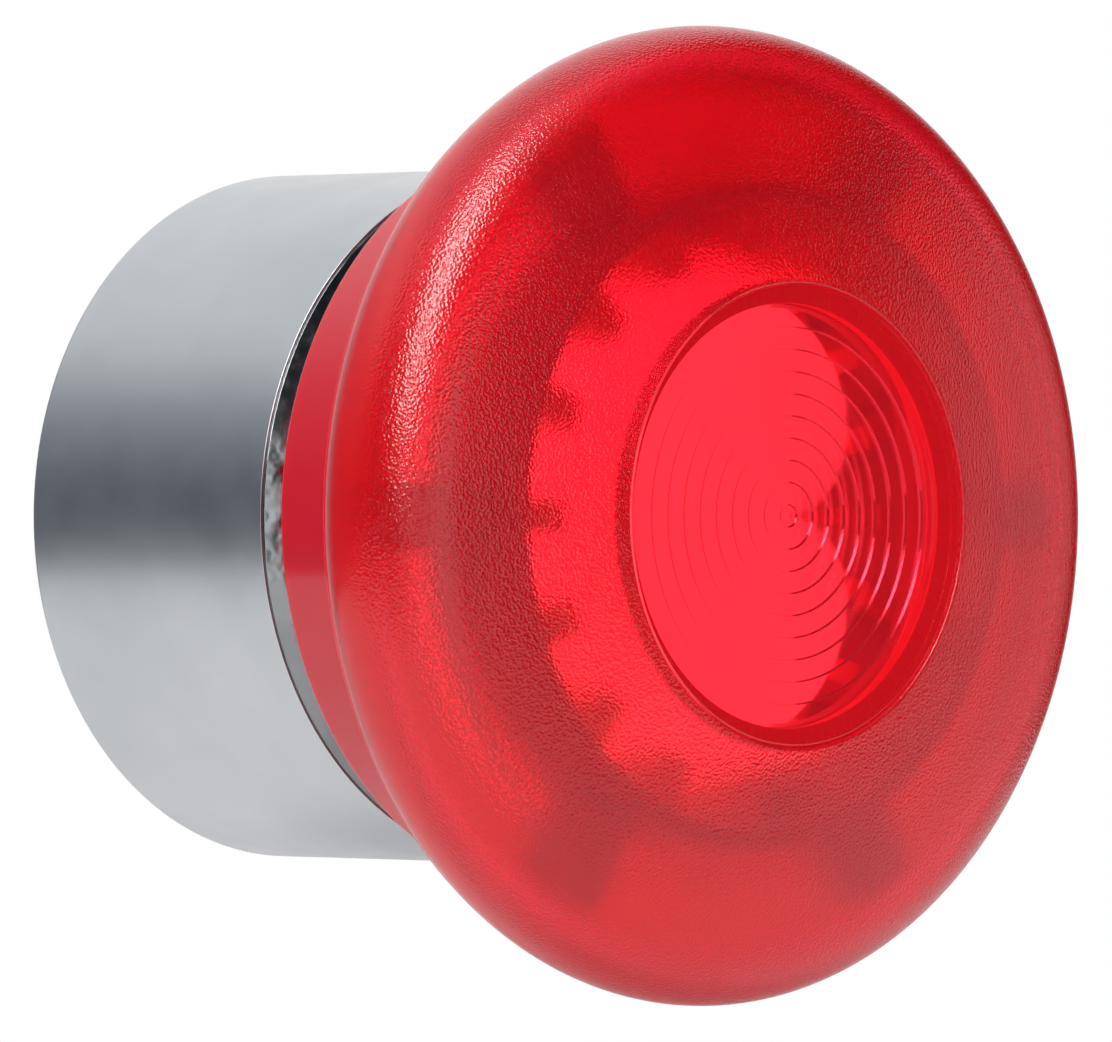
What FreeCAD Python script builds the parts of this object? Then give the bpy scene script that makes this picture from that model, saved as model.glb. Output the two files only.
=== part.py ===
import FreeCAD, Part
import math
import os
import Sketcher

# Illuminated emergency stop operator for a 22 mm panel hole, with a 40 mm mushroom head.
#
# The axis of the button lies along Y. The mounting face is the plane Y = 0, the head points to -Y,
# and the spigot that goes through the panel points to +Y. +Z is up.
# A "depth" is the distance in front of the mounting face, so Y = -depth, and what goes into the
# panel has a negative depth. All sizes are in millimetres.
#
# Pressing the head slides the plunger along +Y by "travel". Two pins of the latch ring run in helical
# slots of the plunger, so the ring turns by "latch_turn" as the head goes in.

SIZES = (
    # what the outside shows
    ("collar_radius", 14.4, "outside of the satin collar"),
    ("collar_length", 14.25, "from the mounting face to the collar's front edge"),
    ("collar_wall", 1.2, "wall of the collar"),
    ("collar_lip", 0.7, "lip at the rear of the collar that the housing flange rests on"),
    ("collar_chamfer", 0.25, "chamfer of the rear edge"),
    ("bevel_height", 0.7, "polished bevel in front of the collar"),
    ("bevel_width", 0.8, "the same, across"),
    ("bevel_arris", 0.05, "step between the collar and the bevel"),
    ("bevel_tube", 0.85, "wall of the tube behind the bevel, which presses into the collar"),
    ("head_radius", 20.0, "largest radius of the mushroom"),
    ("head_depth", 25.57, "depth of the largest radius"),
    ("head_edge", 3.7, "radius of the rounded edge"),
    ("head_dome", 62.0, "radius of the slightly domed front"),
    ("head_wall", 2.0, "wall of the translucent cap"),
    ("head_parting", 23.89, "depth of the joint between cap and skirt"),
    ("lens_radius", 9.39, "lens disc"),
    ("lens_depth", 30.75, "front of the lens disc"),
    ("lens_thickness", 1.15, "lens disc"),
    ("lens_chamfer", 0.15, "chamfer of its front edge"),
    ("lens_ledge", 0.8, "ledge of the cap under the edge of the lens"),
    ("lens_centre", 0.45, "radius of the lens's innermost ring"),
    ("lens_pitch", 0.9, "spacing of its rings"),
    ("lens_step", 0.25, "height of the step of a ring"),
    ("lens_seal", 0.25, "thickness of the gasket under the lens"),
    ("skirt_depth", 16.7, "rear edge of the skirt"),
    ("skirt_edge_radius", 15.56, "outside of that edge"),
    ("skirt_bore", 14.9, "bore of the skirt, which passes over the collar"),
    ("skirt_tube", 2.6, "length of the nearly straight tube of the skirt"),
    ("skirt_taper", 0.2, "widening of that tube"),
    ("skirt_flare", 4.4, "radius of the hollow flare"),
    ("skirt_lip", 19.45, "radius of the skirt's edge at the joint with the cap"),
    ("skirt_lip_height", 0.45, "height of the bead along that edge"),
    ("skirt_lip_bead", 0.25, "the same, across"),
    ("travel", 4.5, "stroke of the head"),
    # fits
    ("snug", 0.03, "radial gap of pieces that are fixed to each other"),
    ("running", 0.08, "radial gap of pieces that slide or turn in each other"),
    ("air", 0.15, "gap of pieces that pass each other"),
    # behind the panel
    ("spigot_radius", 11.0, "spigot for the 22.3 mm panel hole"),
    ("spigot_length", 3.4, "length of the spigot behind the mounting face"),
    ("relief_radius", 10.7, "undercut at the root of the spigot"),
    ("relief_length", 0.3, "the same, behind the mounting face"),
    ("keyway_width", 1.6, "slot for the panel's anti-rotation key"),
    ("keyway_depth", 0.4, "the same"),
    ("stem_radius", 6.0, "threaded stem, M12, at its major diameter"),
    ("stem_length", 5.2, "stem behind the spigot"),
    ("stem_bore", 5.2, "bore of the stem"),
    ("stem_chamfer", 0.4, "start of the thread"),
    ("floor_thickness", 1.0, "floor of the housing"),
    ("flange_thickness", 1.6, "flange of the housing"),
    ("gasket_thickness", 1.0, "panel gasket"),
    ("barrel_depth", 9.2, "front end of the housing barrel"),
    ("barrel_radius", 10.7, "outside of the barrel"),
    ("stop_shoulder", 4.4, "depth of the shoulder that the stop clip meets"),
    ("clip_chamber", 10.25, "bore of the barrel behind that shoulder"),
    ("bush_foot", 0.8, "foot of the guide bush"),
    ("bush_recess", 0.65, "front of the bush behind the collar's front edge"),
    ("wiper_body", 0.7, "body of the wiper seal, along the axis"),
    ("wiper_lip", 0.25, "edge of its lip"),
    ("wiper_root", 0.9, "root of its lip, across"),
    ("wiper_hollow", 0.35, "hollow under its lip"),
    # plunger and latch
    ("plunger_radius", 9.6, "sliding tube"),
    ("plunger_wall", 1.1, "wall of the tube"),
    ("plunger_rear", 3.0, "rear end of the plunger"),
    ("plunger_seat", 17.0, "depth of the seat of the return spring"),
    ("plunger_throat", 6.9, "bore in front of that seat"),
    ("plate_depth", 19.75, "rear of the plunger's plate"),
    ("plate_thickness", 1.5, "plunger's plate"),
    ("plate_radius", 13.4, "plunger's plate"),
    ("clip_groove", 3.6, "rear wall of the stop clip's groove"),
    ("clip_thickness", 0.55, "stop clip"),
    ("clip_seat", 9.05, "bottom of its groove"),
    ("clip_gap", 3.2, "gap of the open ring"),
    ("pusher_thickness", 0.7, "ring of the contact pusher"),
    ("pusher_tip", -3.2, "depth of the ends of its legs"),
    ("pusher_leg_width", 5.0, "leg, across"),
    ("pusher_leg_inset", 0.1, "leg, in from both faces of the plunger's wall"),
    ("ring_rear", 9.35, "rear face of the latch ring"),
    ("ring_front", 11.65, "front face of the latch ring"),
    ("ring_radius", 12.2, "outside of the latch ring"),
    ("ring_notch", 0.5, "depth of the ring's detent notches"),
    ("ring_notch_width", 1.4, "the same, across"),
    ("ring_notch_count", 12, "number of notches"),
    ("pin_depth", 10.5, "depth of the follower pins"),
    ("pin_radius", 0.6, "follower pin"),
    ("pin_inner", 8.75, "inner end of the pins"),
    ("pin_outer", 11.9, "outer end of the pins"),
    ("slot_width", 1.6, "cam slot"),
    ("latch_turn", 30.0, "turn of the latch ring over the whole stroke, in degrees"),
    # head inside
    ("skirt_plate", 1.0, "plate of the skirt"),
    ("skirt_plate_bore", 9.75, "bore of that plate"),
    ("skirt_plate_outer", 15.6, "where its front meets the flare"),
    ("skirt_rim_inner", 17.0, "inside of the skirt at the joint with the cap"),
    ("skirt_bore_corner", 0.6, "bevel in the corner of the bore and the plate"),
    ("diffuser_flange", 0.6, "flange of the diffuser"),
    ("diffuser_radius", 9.9, "cup of the diffuser"),
    ("diffuser_depth", 26.6, "front of the diffuser's cup"),
    ("diffuser_wall", 0.7, "wall of the diffuser"),
    ("carrier_wall_outer", 13.4, "ring wall of the rib carrier"),
    ("carrier_wall_inner", 12.6, "the same, inside"),
    ("carrier_front", 27.85, "front of that wall"),
    ("rib_inner", 10.2, "inner ends of the radial ribs"),
    ("rib_width", 1.3, "rib"),
    ("rib_front", 27.3, "front of the ribs"),
    ("rib_count", 16, "number of radial ribs"),
    ("rib_base", 0.5, "base that joins the ribs"),
    ("rib_root", 0.3, "overlap of a rib or web with the ring wall"),
    ("web_outer", 17.3, "outer ends of the radial webs"),
    ("web_width", 2.65, "web"),
    ("web_front", 26.4, "front of the webs"),
    ("web_count", 6, "number of radial webs"),
    ("screw_circle", 11.35, "radius of the circle of cap screws"),
    ("screw_radius", 0.8, "shank of a cap screw"),
    ("screw_head", 1.4, "head of a cap screw"),
    ("screw_head_height", 0.8, "the same, along the axis"),
    ("screw_tip", 24.3, "front end of the cap screws"),
    ("screw_slot", 0.35, "driver slot, across"),
    ("screw_slot_length", 2.0, "driver slot, along"),
    ("screw_slot_depth", 0.4, "driver slot"),
    ("boss_wall", 0.45, "wall of a screw boss"),
    ("screw_count", 4, "number of cap screws"),
    # springs
    ("return_coil", 7.6, "mean radius of the return spring"),
    ("return_wire", 0.4, "radius of its wire"),
    ("return_pitch", 2.3, "pitch of the return spring"),
    ("latch_coil", 11.55, "mean radius of the latch spring"),
    ("latch_wire", 0.3, "radius of its wire"),
    ("latch_pitch", 0.95, "pitch of the latch spring"),
    # lamp
    ("holder_radius", 5.6, "socket of the lamp holder"),
    ("holder_flange", 6.8, "flange of the lamp holder"),
    ("holder_front", 7.5, "front of the lamp holder"),
    ("holder_flange_height", 1.0, "flange of the lamp holder, along the axis"),
    ("holder_tail", 3.6, "tail of the lamp holder behind the floor"),
    ("contact_radius", 1.2, "centre contact"),
    ("contact_root", 0.8, "part of the centre contact in the holder"),
    ("contact_height", 0.4, "part of it above the holder's floor"),
    ("lamp_radius", 4.6, "base of the lamp"),
    ("lamp_rear", 0.25, "rear of the lamp base"),
    ("lamp_bevel", 0.6, "bevel of its rear edge"),
    ("lamp_rim", 0.35, "rolled rim of the lamp base, across"),
    ("lamp_rim_height", 0.5, "the same, along the axis"),
    ("lamp_front", 8.2, "front of the lamp base"),
    ("lamp_dome_radius", 4.2, "dome of the lamp"),
    ("lamp_dome_depth", 14.4, "top of the lamp's dome"),
    ("blade_width", 2.8, "terminal blade"),
    ("blade_thickness", 0.8, "terminal blade"),
    ("blade_offset", 2.6, "centre of a blade from the axis"),
    ("blade_tip", -10.4, "end of the blades"),
)

FULL_TURN = 360.0
SIDEWAYS = FreeCAD.Vector(1, 0, 0)
AXIS = FreeCAD.Vector(0, 1, 0)
AHEAD = FreeCAD.Rotation(SIDEWAYS, 90)  # turns a local +Z into the head's direction, -Y
PAST = 1.0  # how far a cutter runs past the face it leaves by
PIN_ANGLES = (("right", 0.0), ("left", 180.0))
BLADES = (("upper", 1), ("lower", -1))

doc = FreeCAD.newDocument("emergency_stop_button")


class Size:
    """A length with its present value and the sheet expression that gives it."""

    def __init__(self, value, expression):
        self.value = float(value)
        self.expression = expression

    @staticmethod
    def of(number):
        """A plain number as a Size."""
        return number if isinstance(number, Size) else Size(number, str(number))

    def joined(self, sign, other, value):
        """The two expressions with the sign between them."""
        return Size(value, "(" + self.expression + " " + sign + " " + other.expression + ")")

    def __add__(self, other):
        other = Size.of(other)
        return self.joined("+", other, self.value + other.value)

    def __sub__(self, other):
        other = Size.of(other)
        return self.joined("-", other, self.value - other.value)

    def __mul__(self, other):
        other = Size.of(other)
        return self.joined("*", other, self.value * other.value)

    def __truediv__(self, other):
        other = Size.of(other)
        return self.joined("/", other, self.value / other.value)

    def __neg__(self):
        return Size(-self.value, "(0 - " + self.expression + ")")


class Sizes:
    """Every driving size of the sheet, as an attribute."""

    def __init__(self, rows):
        sheet = doc.addObject("Spreadsheet::Sheet", "Sizes")
        for row, (alias, value, meaning) in enumerate(rows, start=1):
            sheet.set(f"A{row}", alias)
            sheet.set(f"B{row}", str(value))
            sheet.set(f"C{row}", meaning)
            sheet.setAlias(f"B{row}", alias)
            setattr(self, alias, Size(value, "Sizes." + alias))
        doc.recompute()


d = Sizes(SIZES)


def bind(item, prop, size):
    """Ties a property of an object to a size."""
    item.setExpression(prop, Size.of(size).expression)


# ---------------------------------------------------------------- sketches


def origin_plane(body, role):
    """The body's own origin feature with that role."""
    return next(f for f in body.Origin.OriginFeatures if f.Role == role)


def new_sketch(body, name, role):
    """A sketch on one of the body's origin planes."""
    sketch = body.newObject("Sketcher::SketchObject", name)
    sketch.AttachmentSupport = (origin_plane(body, role), [""])
    sketch.MapMode = "FlatFace"
    return sketch


def end_at(sketch, edge, point):
    """1 or 2: the end of a sketch edge that lies at the point."""
    near_start = (sketch.getPoint(edge, 1) - point).Length
    near_end = (sketch.getPoint(edge, 2) - point).Length
    return 1 if near_start < near_end else 2


def pin(sketch, kind, edge, end, size):
    """Fixes one coordinate of a sketch point to a size, on either side of the sketch's origin."""
    on_axis = -2 if kind == "DistanceX" else -1
    if abs(size.value) < 1e-9:
        sketch.addConstraint(Sketcher.Constraint("PointOnObject", edge, end, on_axis))
        return
    if size.value > 0:
        constraint = Sketcher.Constraint(kind, -1, 1, edge, end, size.value)
        expression = size.expression
    else:
        constraint = Sketcher.Constraint(kind, edge, end, -1, 1, -size.value)
        expression = (-size).expression
    index = sketch.addConstraint(constraint)
    sketch.setExpression(f"Constraints[{index}]", expression)


def bulged(start, end, radius):
    """An arc from start to end. In an outline of (radius, depth) a positive radius bulges to the right."""
    chord = end - start
    side = FreeCAD.Vector(-chord.y, chord.x, 0).normalize()
    half = chord.Length / 2
    sagitta = abs(radius) - math.sqrt(radius * radius - half * half)
    middle = (start + end) * 0.5 + side * math.copysign(sagitta, radius)
    return Part.Arc(start, middle, end)


def draw_outline(sketch, corners, arcs):
    """A closed outline of sized corners. arcs gives a corner's number the signed radius of the edge after it."""
    points = [FreeCAD.Vector(x.value, y.value, 0) for x, y in corners]
    edges = []
    for number, start in enumerate(points):
        end = points[(number + 1) % len(points)]
        if number in arcs:
            shape = bulged(start, end, arcs[number].value)
        else:
            shape = Part.LineSegment(start, end)
        edges.append(sketch.addGeometry(shape))
    for number, (point, corner) in enumerate(zip(points, corners)):
        edge = edges[number]
        before = edges[number - 1]
        end = end_at(sketch, edge, point)
        end_before = end_at(sketch, before, point)
        sketch.addConstraint(Sketcher.Constraint("Coincident", before, end_before, edge, end))
        pin(sketch, "DistanceX", edge, end, corner[0])
        pin(sketch, "DistanceY", edge, end, corner[1])
    for number, radius in arcs.items():
        magnitude = radius if radius.value > 0 else -radius
        index = sketch.addConstraint(Sketcher.Constraint("Radius", edges[number], magnitude.value))
        sketch.setExpression(f"Constraints[{index}]", magnitude.expression)


# ---------------------------------------------------------------- solids


def turned(label, corners, arcs=None):
    """A body turned about the button's axis from an outline of (radius, depth) corners."""
    body = doc.addObject("PartDesign::Body", label)
    sketch = new_sketch(body, label + "_outline", "XY_Plane")
    draw_outline(sketch, [(Size.of(r), -Size.of(depth)) for r, depth in corners], arcs or {})
    turn = body.newObject("PartDesign::Revolution", label + "_turn")
    turn.Profile = sketch
    turn.ReferenceAxis = (sketch, ["V_Axis"])
    turn.Angle = FULL_TURN
    return body


def tube(label, outer, inner, rear, front):
    """A turned ring between two radii and two depths."""
    return turned(label, [(inner, rear), (outer, rear), (outer, front), (inner, front)])


def padded(body, name, outline, rear, length, count=1):
    """A bar of the body with an outline in X and Z, from a depth towards the head, repeated round the axis."""
    sketch = new_sketch(body, name + "_outline", "XZ_Plane")
    bind(sketch, "AttachmentOffset.Base.z", rear)
    draw_outline(sketch, outline, {})
    pad = body.newObject("PartDesign::Pad", name)
    pad.Profile = sketch
    pad.Length = length.value
    bind(pad, "Length", length)
    return repeated(body, name, pad, count)


def pocketed(body, name, outline, rear, length, count=1):
    """A cut in the body with an outline in X and Z, from a depth towards the head, repeated round the axis."""
    doc.recompute()
    before = body.Shape.Volume
    sketch = new_sketch(body, name + "_outline", "XZ_Plane")
    bind(sketch, "AttachmentOffset.Base.z", rear)
    draw_outline(sketch, outline, {})
    pocket = body.newObject("PartDesign::Pocket", name)
    pocket.Profile = sketch
    pocket.Reversed = True
    pocket.Length = length.value
    bind(pocket, "Length", length)
    result = repeated(body, name, pocket, count)
    doc.recompute()
    if body.Shape.Volume >= before:
        raise RuntimeError(name + " cuts nothing")
    return result


def repeated(body, name, feature, count):
    """The feature repeated evenly round the button's axis."""
    if Size.of(count).value == 1:
        return feature
    doc.recompute()
    pattern = body.newObject("PartDesign::PolarPattern", name + "_pattern")
    pattern.Originals = [feature]
    pattern.Axis = (origin_plane(body, "Y_Axis"), [""])
    pattern.Angle = FULL_TURN
    pattern.Occurrences = int(Size.of(count).value)
    bind(pattern, "Occurrences", count)
    body.Tip = pattern
    return pattern


def rectangle(x_near, x_far, half_width):
    """The outline of a radial bar from x_near to x_far."""
    return [(x_near, -half_width), (x_far, -half_width), (x_far, half_width), (x_near, half_width)]


def rod(name, radius, rear, front, x=0.0, z=0.0):
    """A cylinder along the button's axis between two depths."""
    item = doc.addObject("Part::Cylinder", name)
    item.Placement = FreeCAD.Placement(FreeCAD.Vector(x, -Size.of(rear).value, z), AHEAD)
    bind(item, "Radius", radius)
    bind(item, "Height", Size.of(front) - rear)
    bind(item, "Placement.Base.y", -Size.of(rear))
    return item


def radial_rod(name, radius, inner, outer, depth, angle):
    """A cylinder along a radius of the button, angle degrees round from +X towards +Z."""
    item = doc.addObject("Part::Cylinder", name)
    outward = FreeCAD.Vector(math.cos(math.radians(angle)), 0, math.sin(math.radians(angle)))
    turn = FreeCAD.Rotation(FreeCAD.Vector(0, 0, 1), outward)
    item.Placement = FreeCAD.Placement(outward * Size.of(inner).value, turn)
    bind(item, "Radius", radius)
    bind(item, "Height", Size.of(outer) - inner)
    bind(item, "Placement.Base.x", Size.of(inner) * outward.x)
    bind(item, "Placement.Base.y", -Size.of(depth))
    bind(item, "Placement.Base.z", Size.of(inner) * outward.z)
    return item


def block(name, x_size, z_size, rear, front, x=0.0, z=0.0):
    """A box centred on (x, z), between two depths."""
    item = doc.addObject("Part::Box", name)
    bind(item, "Length", x_size)
    bind(item, "Height", z_size)
    bind(item, "Width", Size.of(front) - rear)
    bind(item, "Placement.Base.x", Size.of(x) - Size.of(x_size) / 2)
    bind(item, "Placement.Base.y", -Size.of(front))
    bind(item, "Placement.Base.z", Size.of(z) - Size.of(z_size) / 2)
    return item


def united(name, items):
    """Several solids that touch, made one."""
    union = doc.addObject("Part::MultiFuse", name)
    union.Shapes = items
    return union


def grouped(name, items):
    """Separate equal pieces that share one node."""
    group = doc.addObject("Part::Compound", name)
    group.Links = items
    return group


def removed(name, base, tool):
    """The base with the tool cut out of it, checked to be smaller than before."""
    doc.recompute()
    before = base.Shape.Volume
    cut = doc.addObject("Part::Cut", name)
    cut.Base = base
    cut.Tool = tool
    doc.recompute()
    if cut.Shape.Volume >= before:
        raise RuntimeError(name + " cuts nothing")
    return cut


def kept(name, base, tool):
    """What the base and the tool have in common."""
    common = doc.addObject("Part::Common", name)
    common.Base = base
    common.Tool = tool
    return common


def coil(name, mean_radius, wire_radius, pitch, rear, front):
    """A spring's wire from one end to the other, as a round section swept along a helix."""
    helix = doc.addObject("Part::Helix", name + "_helix")
    helix.Placement = FreeCAD.Placement(FreeCAD.Vector(0, 0, 0), AHEAD)
    bind(helix, "Radius", mean_radius)
    bind(helix, "Pitch", pitch)
    bind(helix, "Height", Size.of(front) - rear - Size.of(wire_radius) * 2)
    bind(helix, "Placement.Base.y", -(Size.of(rear) + wire_radius))
    helix.SegmentLength = 1  # one edge for each turn
    section = doc.addObject("Part::Circle", name + "_section")
    section.Placement = FreeCAD.Placement(FreeCAD.Vector(0, 0, 0), AHEAD.multiply(AHEAD))
    bind(section, "Radius", wire_radius)
    bind(section, "Placement.Base.x", mean_radius)
    bind(section, "Placement.Base.y", -(Size.of(rear) + wire_radius))
    doc.recompute()
    sweep = doc.addObject("Part::Sweep", name)
    sweep.Sections = [section]
    sweep.Spine = (helix, [f"Edge{number}" for number in range(1, len(helix.Shape.Edges) + 1)])
    sweep.Solid = True
    sweep.Frenet = True
    return sweep


# ---------------------------------------------------------------- collar and housing

collar_bore = d.collar_radius - d.collar_wall
collar_fit = collar_bore - d.snug
lip_bore = collar_bore - d.collar_lip
flange_front = d.gasket_thickness + d.flange_thickness
bush_rear = d.ring_front + d.air
bush_step = bush_rear + d.bush_foot
bush_front = d.collar_length - d.bush_recess
ring_bore = collar_fit - d.bevel_tube
bevel_front = d.collar_length + d.bevel_height
bevel_foot = d.collar_radius - d.bevel_arris
barrel_bore = d.plunger_radius + d.running
floor_rear = -d.spigot_length
floor_front = floor_rear + d.floor_thickness
stem_end = floor_rear - d.stem_length
plunger_bore = d.plunger_radius - d.plunger_wall
leg_outer = d.plunger_radius - d.pusher_leg_inset
leg_inner = plunger_bore + d.pusher_leg_inset


def make_collar():
    """The satin sleeve round the button, with a lip inside its rear edge."""
    chamfer = d.collar_chamfer
    return turned("collar", [
        (lip_bore, 0),
        (d.collar_radius - chamfer, 0),
        (d.collar_radius, chamfer),
        (d.collar_radius, d.collar_length),
        (collar_bore, d.collar_length),
        (collar_bore, d.gasket_thickness),
        (lip_bore, d.gasket_thickness),
    ])


def make_front_ring():
    """The polished bevel in front of the collar, with a tube that presses into the collar's bore."""
    return turned("front_ring", [
        (ring_bore, bush_step),
        (collar_fit, bush_step),
        (collar_fit, d.collar_length),
        (bevel_foot, d.collar_length),
        (bevel_foot - d.bevel_width, bevel_front),
        (ring_bore, bevel_front),
    ])


def make_housing_body():
    """Barrel, flange, panel spigot, floor and threaded stem in one moulding."""
    body = turned("housing_moulding", [
        (d.stem_bore, stem_end),
        (d.stem_radius - d.stem_chamfer, stem_end),
        (d.stem_radius, stem_end + d.stem_chamfer),
        (d.stem_radius, floor_rear),
        (d.spigot_radius, floor_rear),
        (d.spigot_radius, -d.relief_length),
        (d.relief_radius, -d.relief_length),
        (d.relief_radius, d.gasket_thickness),
        (collar_fit, d.gasket_thickness),
        (collar_fit, flange_front),
        (d.barrel_radius, flange_front),
        (d.barrel_radius, d.barrel_depth),
        (barrel_bore, d.barrel_depth),
        (barrel_bore, d.stop_shoulder),
        (d.clip_chamber, d.stop_shoulder),
        (d.clip_chamber, floor_front),
        (d.stem_bore, floor_front),
    ])
    # the anti-rotation keyway is cut along the whole spigot, at the top
    key_floor = d.spigot_radius - d.keyway_depth
    half_key = d.keyway_width / 2
    keyway = [
        (-half_key, key_floor),
        (half_key, key_floor),
        (half_key, d.spigot_radius + PAST),
        (-half_key, d.spigot_radius + PAST),
    ]
    pocketed(body, "keyway", keyway, floor_rear, d.spigot_length)
    # two windows in the floor let the legs of the contact pusher through
    rear = floor_rear - PAST
    front = floor_front + PAST
    window_ring = tube("window_ring", leg_outer + d.air, leg_inner - d.air, rear, front)
    window_bar = block("window_bar", d.clip_chamber * 2, d.pusher_leg_width + d.air * 4, rear, front)
    windows = kept("windows", window_ring, window_bar)
    return removed("housing_body", body, windows)


def make_panel_gasket():
    """The flat ring that seals the housing to the panel."""
    return tube("panel_gasket", lip_bore - d.snug, d.spigot_radius + d.snug, 0, d.gasket_thickness)


def make_guide_bush():
    """The bearing of the plunger in the mouth of the collar."""
    return turned("guide_bush", [
        (barrel_bore, bush_rear),
        (collar_fit, bush_rear),
        (collar_fit, bush_step),
        (ring_bore - d.snug, bush_step),
        (ring_bore - d.snug, bush_front),
        (barrel_bore, bush_front),
    ])


def make_wiper_seal():
    """The rubber ring with a lip that keeps water and dust off the plunger."""
    lip = d.plunger_radius + d.air
    body_front = bush_front + d.wiper_body
    return turned("wiper_seal", [
        (lip + d.wiper_hollow, bush_front),
        (ring_bore - d.snug, bush_front),
        (ring_bore - d.snug, body_front),
        (lip + d.wiper_root, body_front),
        (lip + d.wiper_lip, bevel_front),
        (lip, bevel_front),
        (lip, bevel_front - d.wiper_hollow),
        (lip + d.wiper_hollow, body_front - d.wiper_lip),
    ])


# ---------------------------------------------------------------- latch


def make_latch_ring():
    """The ring that turns as the head is pressed, with detent notches in its rim and holes for two pins."""
    body = tube("latch_ring_blank", d.ring_radius, d.plunger_radius + d.air, d.ring_rear, d.ring_front)
    outline = rectangle(d.ring_radius - d.ring_notch, d.ring_radius + PAST, d.ring_notch_width / 2)
    pocketed(body, "detent_notch", outline, d.ring_rear, d.ring_front - d.ring_rear, d.ring_notch_count)
    holes = united("pin_holes", [
        radial_rod(f"pin_hole_{side}", d.pin_radius, d.pin_inner, d.ring_radius + PAST, d.pin_depth, angle)
        for side, angle in PIN_ANGLES
    ])
    return removed("latch_ring", body, holes)


def make_follower_pins():
    """The two steel pins of the latch ring."""
    return grouped("follower_pins", [
        radial_rod(f"follower_pin_{side}", d.pin_radius, d.pin_inner, d.pin_outer, d.pin_depth, angle)
        for side, angle in PIN_ANGLES
    ])


def make_latch_spring():
    """The torsion spring round the barrel that turns the latch ring."""
    return coil("latch_spring", d.latch_coil, d.latch_wire, d.latch_pitch, flange_front, d.barrel_depth)


def make_return_spring():
    """The compression spring between the floor of the housing and the plunger."""
    return coil("return_spring", d.return_coil, d.return_wire, d.return_pitch, floor_front, d.plunger_seat)


# ---------------------------------------------------------------- plunger


def cam_slot(side, angle):
    """The cutter of one helical slot through the wall of the plunger, with round ends."""
    inner = plunger_bore - PAST / 2
    outer = d.plunger_radius + PAST / 2
    pitch = d.travel * FULL_TURN / d.latch_turn
    spin = FreeCAD.Rotation(AXIS, -angle)
    helix = doc.addObject("Part::Helix", f"cam_helix_{side}")
    helix.Placement = FreeCAD.Placement(FreeCAD.Vector(0, 0, 0), spin.multiply(AHEAD))
    bind(helix, "Radius", d.plunger_radius)
    bind(helix, "Pitch", pitch)
    bind(helix, "Height", d.travel)
    bind(helix, "Placement.Base.y", -d.pin_depth)
    # the section lies in a plane through the axis, so the slot's width is taken along the axis
    lead = math.atan2(d.travel.value, d.plunger_radius.value * math.radians(d.latch_turn.value))
    half_mouth = d.slot_width / (2 * math.cos(lead))
    section = doc.addObject("Sketcher::SketchObject", f"cam_section_{side}")
    draw_outline(section, [
        (inner, d.pin_depth - half_mouth),
        (outer, d.pin_depth - half_mouth),
        (outer, d.pin_depth + half_mouth),
        (inner, d.pin_depth + half_mouth),
    ], {})
    flip = FreeCAD.Rotation(SIDEWAYS, 180)
    section.Placement = FreeCAD.Placement(FreeCAD.Vector(0, 0, 0), spin.multiply(flip))
    sweep = doc.addObject("Part::Sweep", f"cam_sweep_{side}")
    sweep.Sections = [section]
    sweep.Spine = (helix, ["Edge1"])
    sweep.Solid = True
    sweep.Frenet = True
    ends = [
        radial_rod(f"cam_start_{side}", d.slot_width / 2, inner, outer, d.pin_depth, angle),
        radial_rod(f"cam_end_{side}", d.slot_width / 2, inner, outer, d.pin_depth + d.travel,
                   angle + d.latch_turn.value),
    ]
    return [sweep] + ends


def make_plunger():
    """The sliding tube with the plate that carries the head, the clip's groove and two cam slots."""
    body = turned("plunger_tube", [
        (plunger_bore, d.plunger_rear),
        (d.plunger_radius, d.plunger_rear),
        (d.plunger_radius, d.clip_groove),
        (d.clip_seat, d.clip_groove),
        (d.clip_seat, d.clip_groove + d.clip_thickness),
        (d.plunger_radius, d.clip_groove + d.clip_thickness),
        (d.plunger_radius, d.plate_depth),
        (d.plate_radius, d.plate_depth),
        (d.plate_radius, plate_front),
        (d.plunger_throat, plate_front),
        (d.plunger_throat, d.plunger_seat),
        (plunger_bore, d.plunger_seat),
    ])
    slots = united("cam_slots", [cutter for side, angle in PIN_ANGLES for cutter in cam_slot(side, angle)])
    slotted = removed("plunger_slotted", body, slots)
    holes = united("screw_clearance", [
        rod(f"screw_clearance_{number}_{name}", radius, rear, front, x, z)
        for number, (x, z) in enumerate(screw_places())
        for name, radius, rear, front in (
            ("shank", d.screw_radius, d.plate_depth - PAST, plate_front + PAST),
            ("head", d.screw_head + d.snug, d.plate_depth - PAST, d.plate_depth + d.screw_head_height),
        )
    ])
    return removed("plunger", slotted, holes)


def screw_places():
    """The X and Z of each cap screw, each between two ribs."""
    step = FULL_TURN / d.screw_count.value
    offset = FULL_TURN / d.rib_count.value / 2
    angles = [math.radians(offset + step * number) for number in range(int(d.screw_count.value))]
    circle = d.screw_circle.value
    return [(circle * math.cos(angle), circle * math.sin(angle)) for angle in angles]


def make_cap_screws():
    """The screws that hold the head together, heads to the rear."""
    screws = []
    for number, (x, z) in enumerate(screw_places()):
        head_front = d.plate_depth + d.screw_head_height
        head = rod(f"cap_screw_head_{number}", d.screw_head, d.plate_depth, head_front, x, z)
        shank = rod(f"cap_screw_shank_{number}", d.screw_radius, head_front, d.screw_tip, x, z)
        drive = block(f"cap_screw_drive_{number}", d.screw_slot_length, d.screw_slot, d.plate_depth,
                      d.plate_depth + d.screw_slot_depth, x, z)
        screw = united(f"cap_screw_{number}", [head, shank])
        screws.append(removed(f"cap_screw_driven_{number}", screw, drive))
    return grouped("cap_screws", screws)


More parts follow.
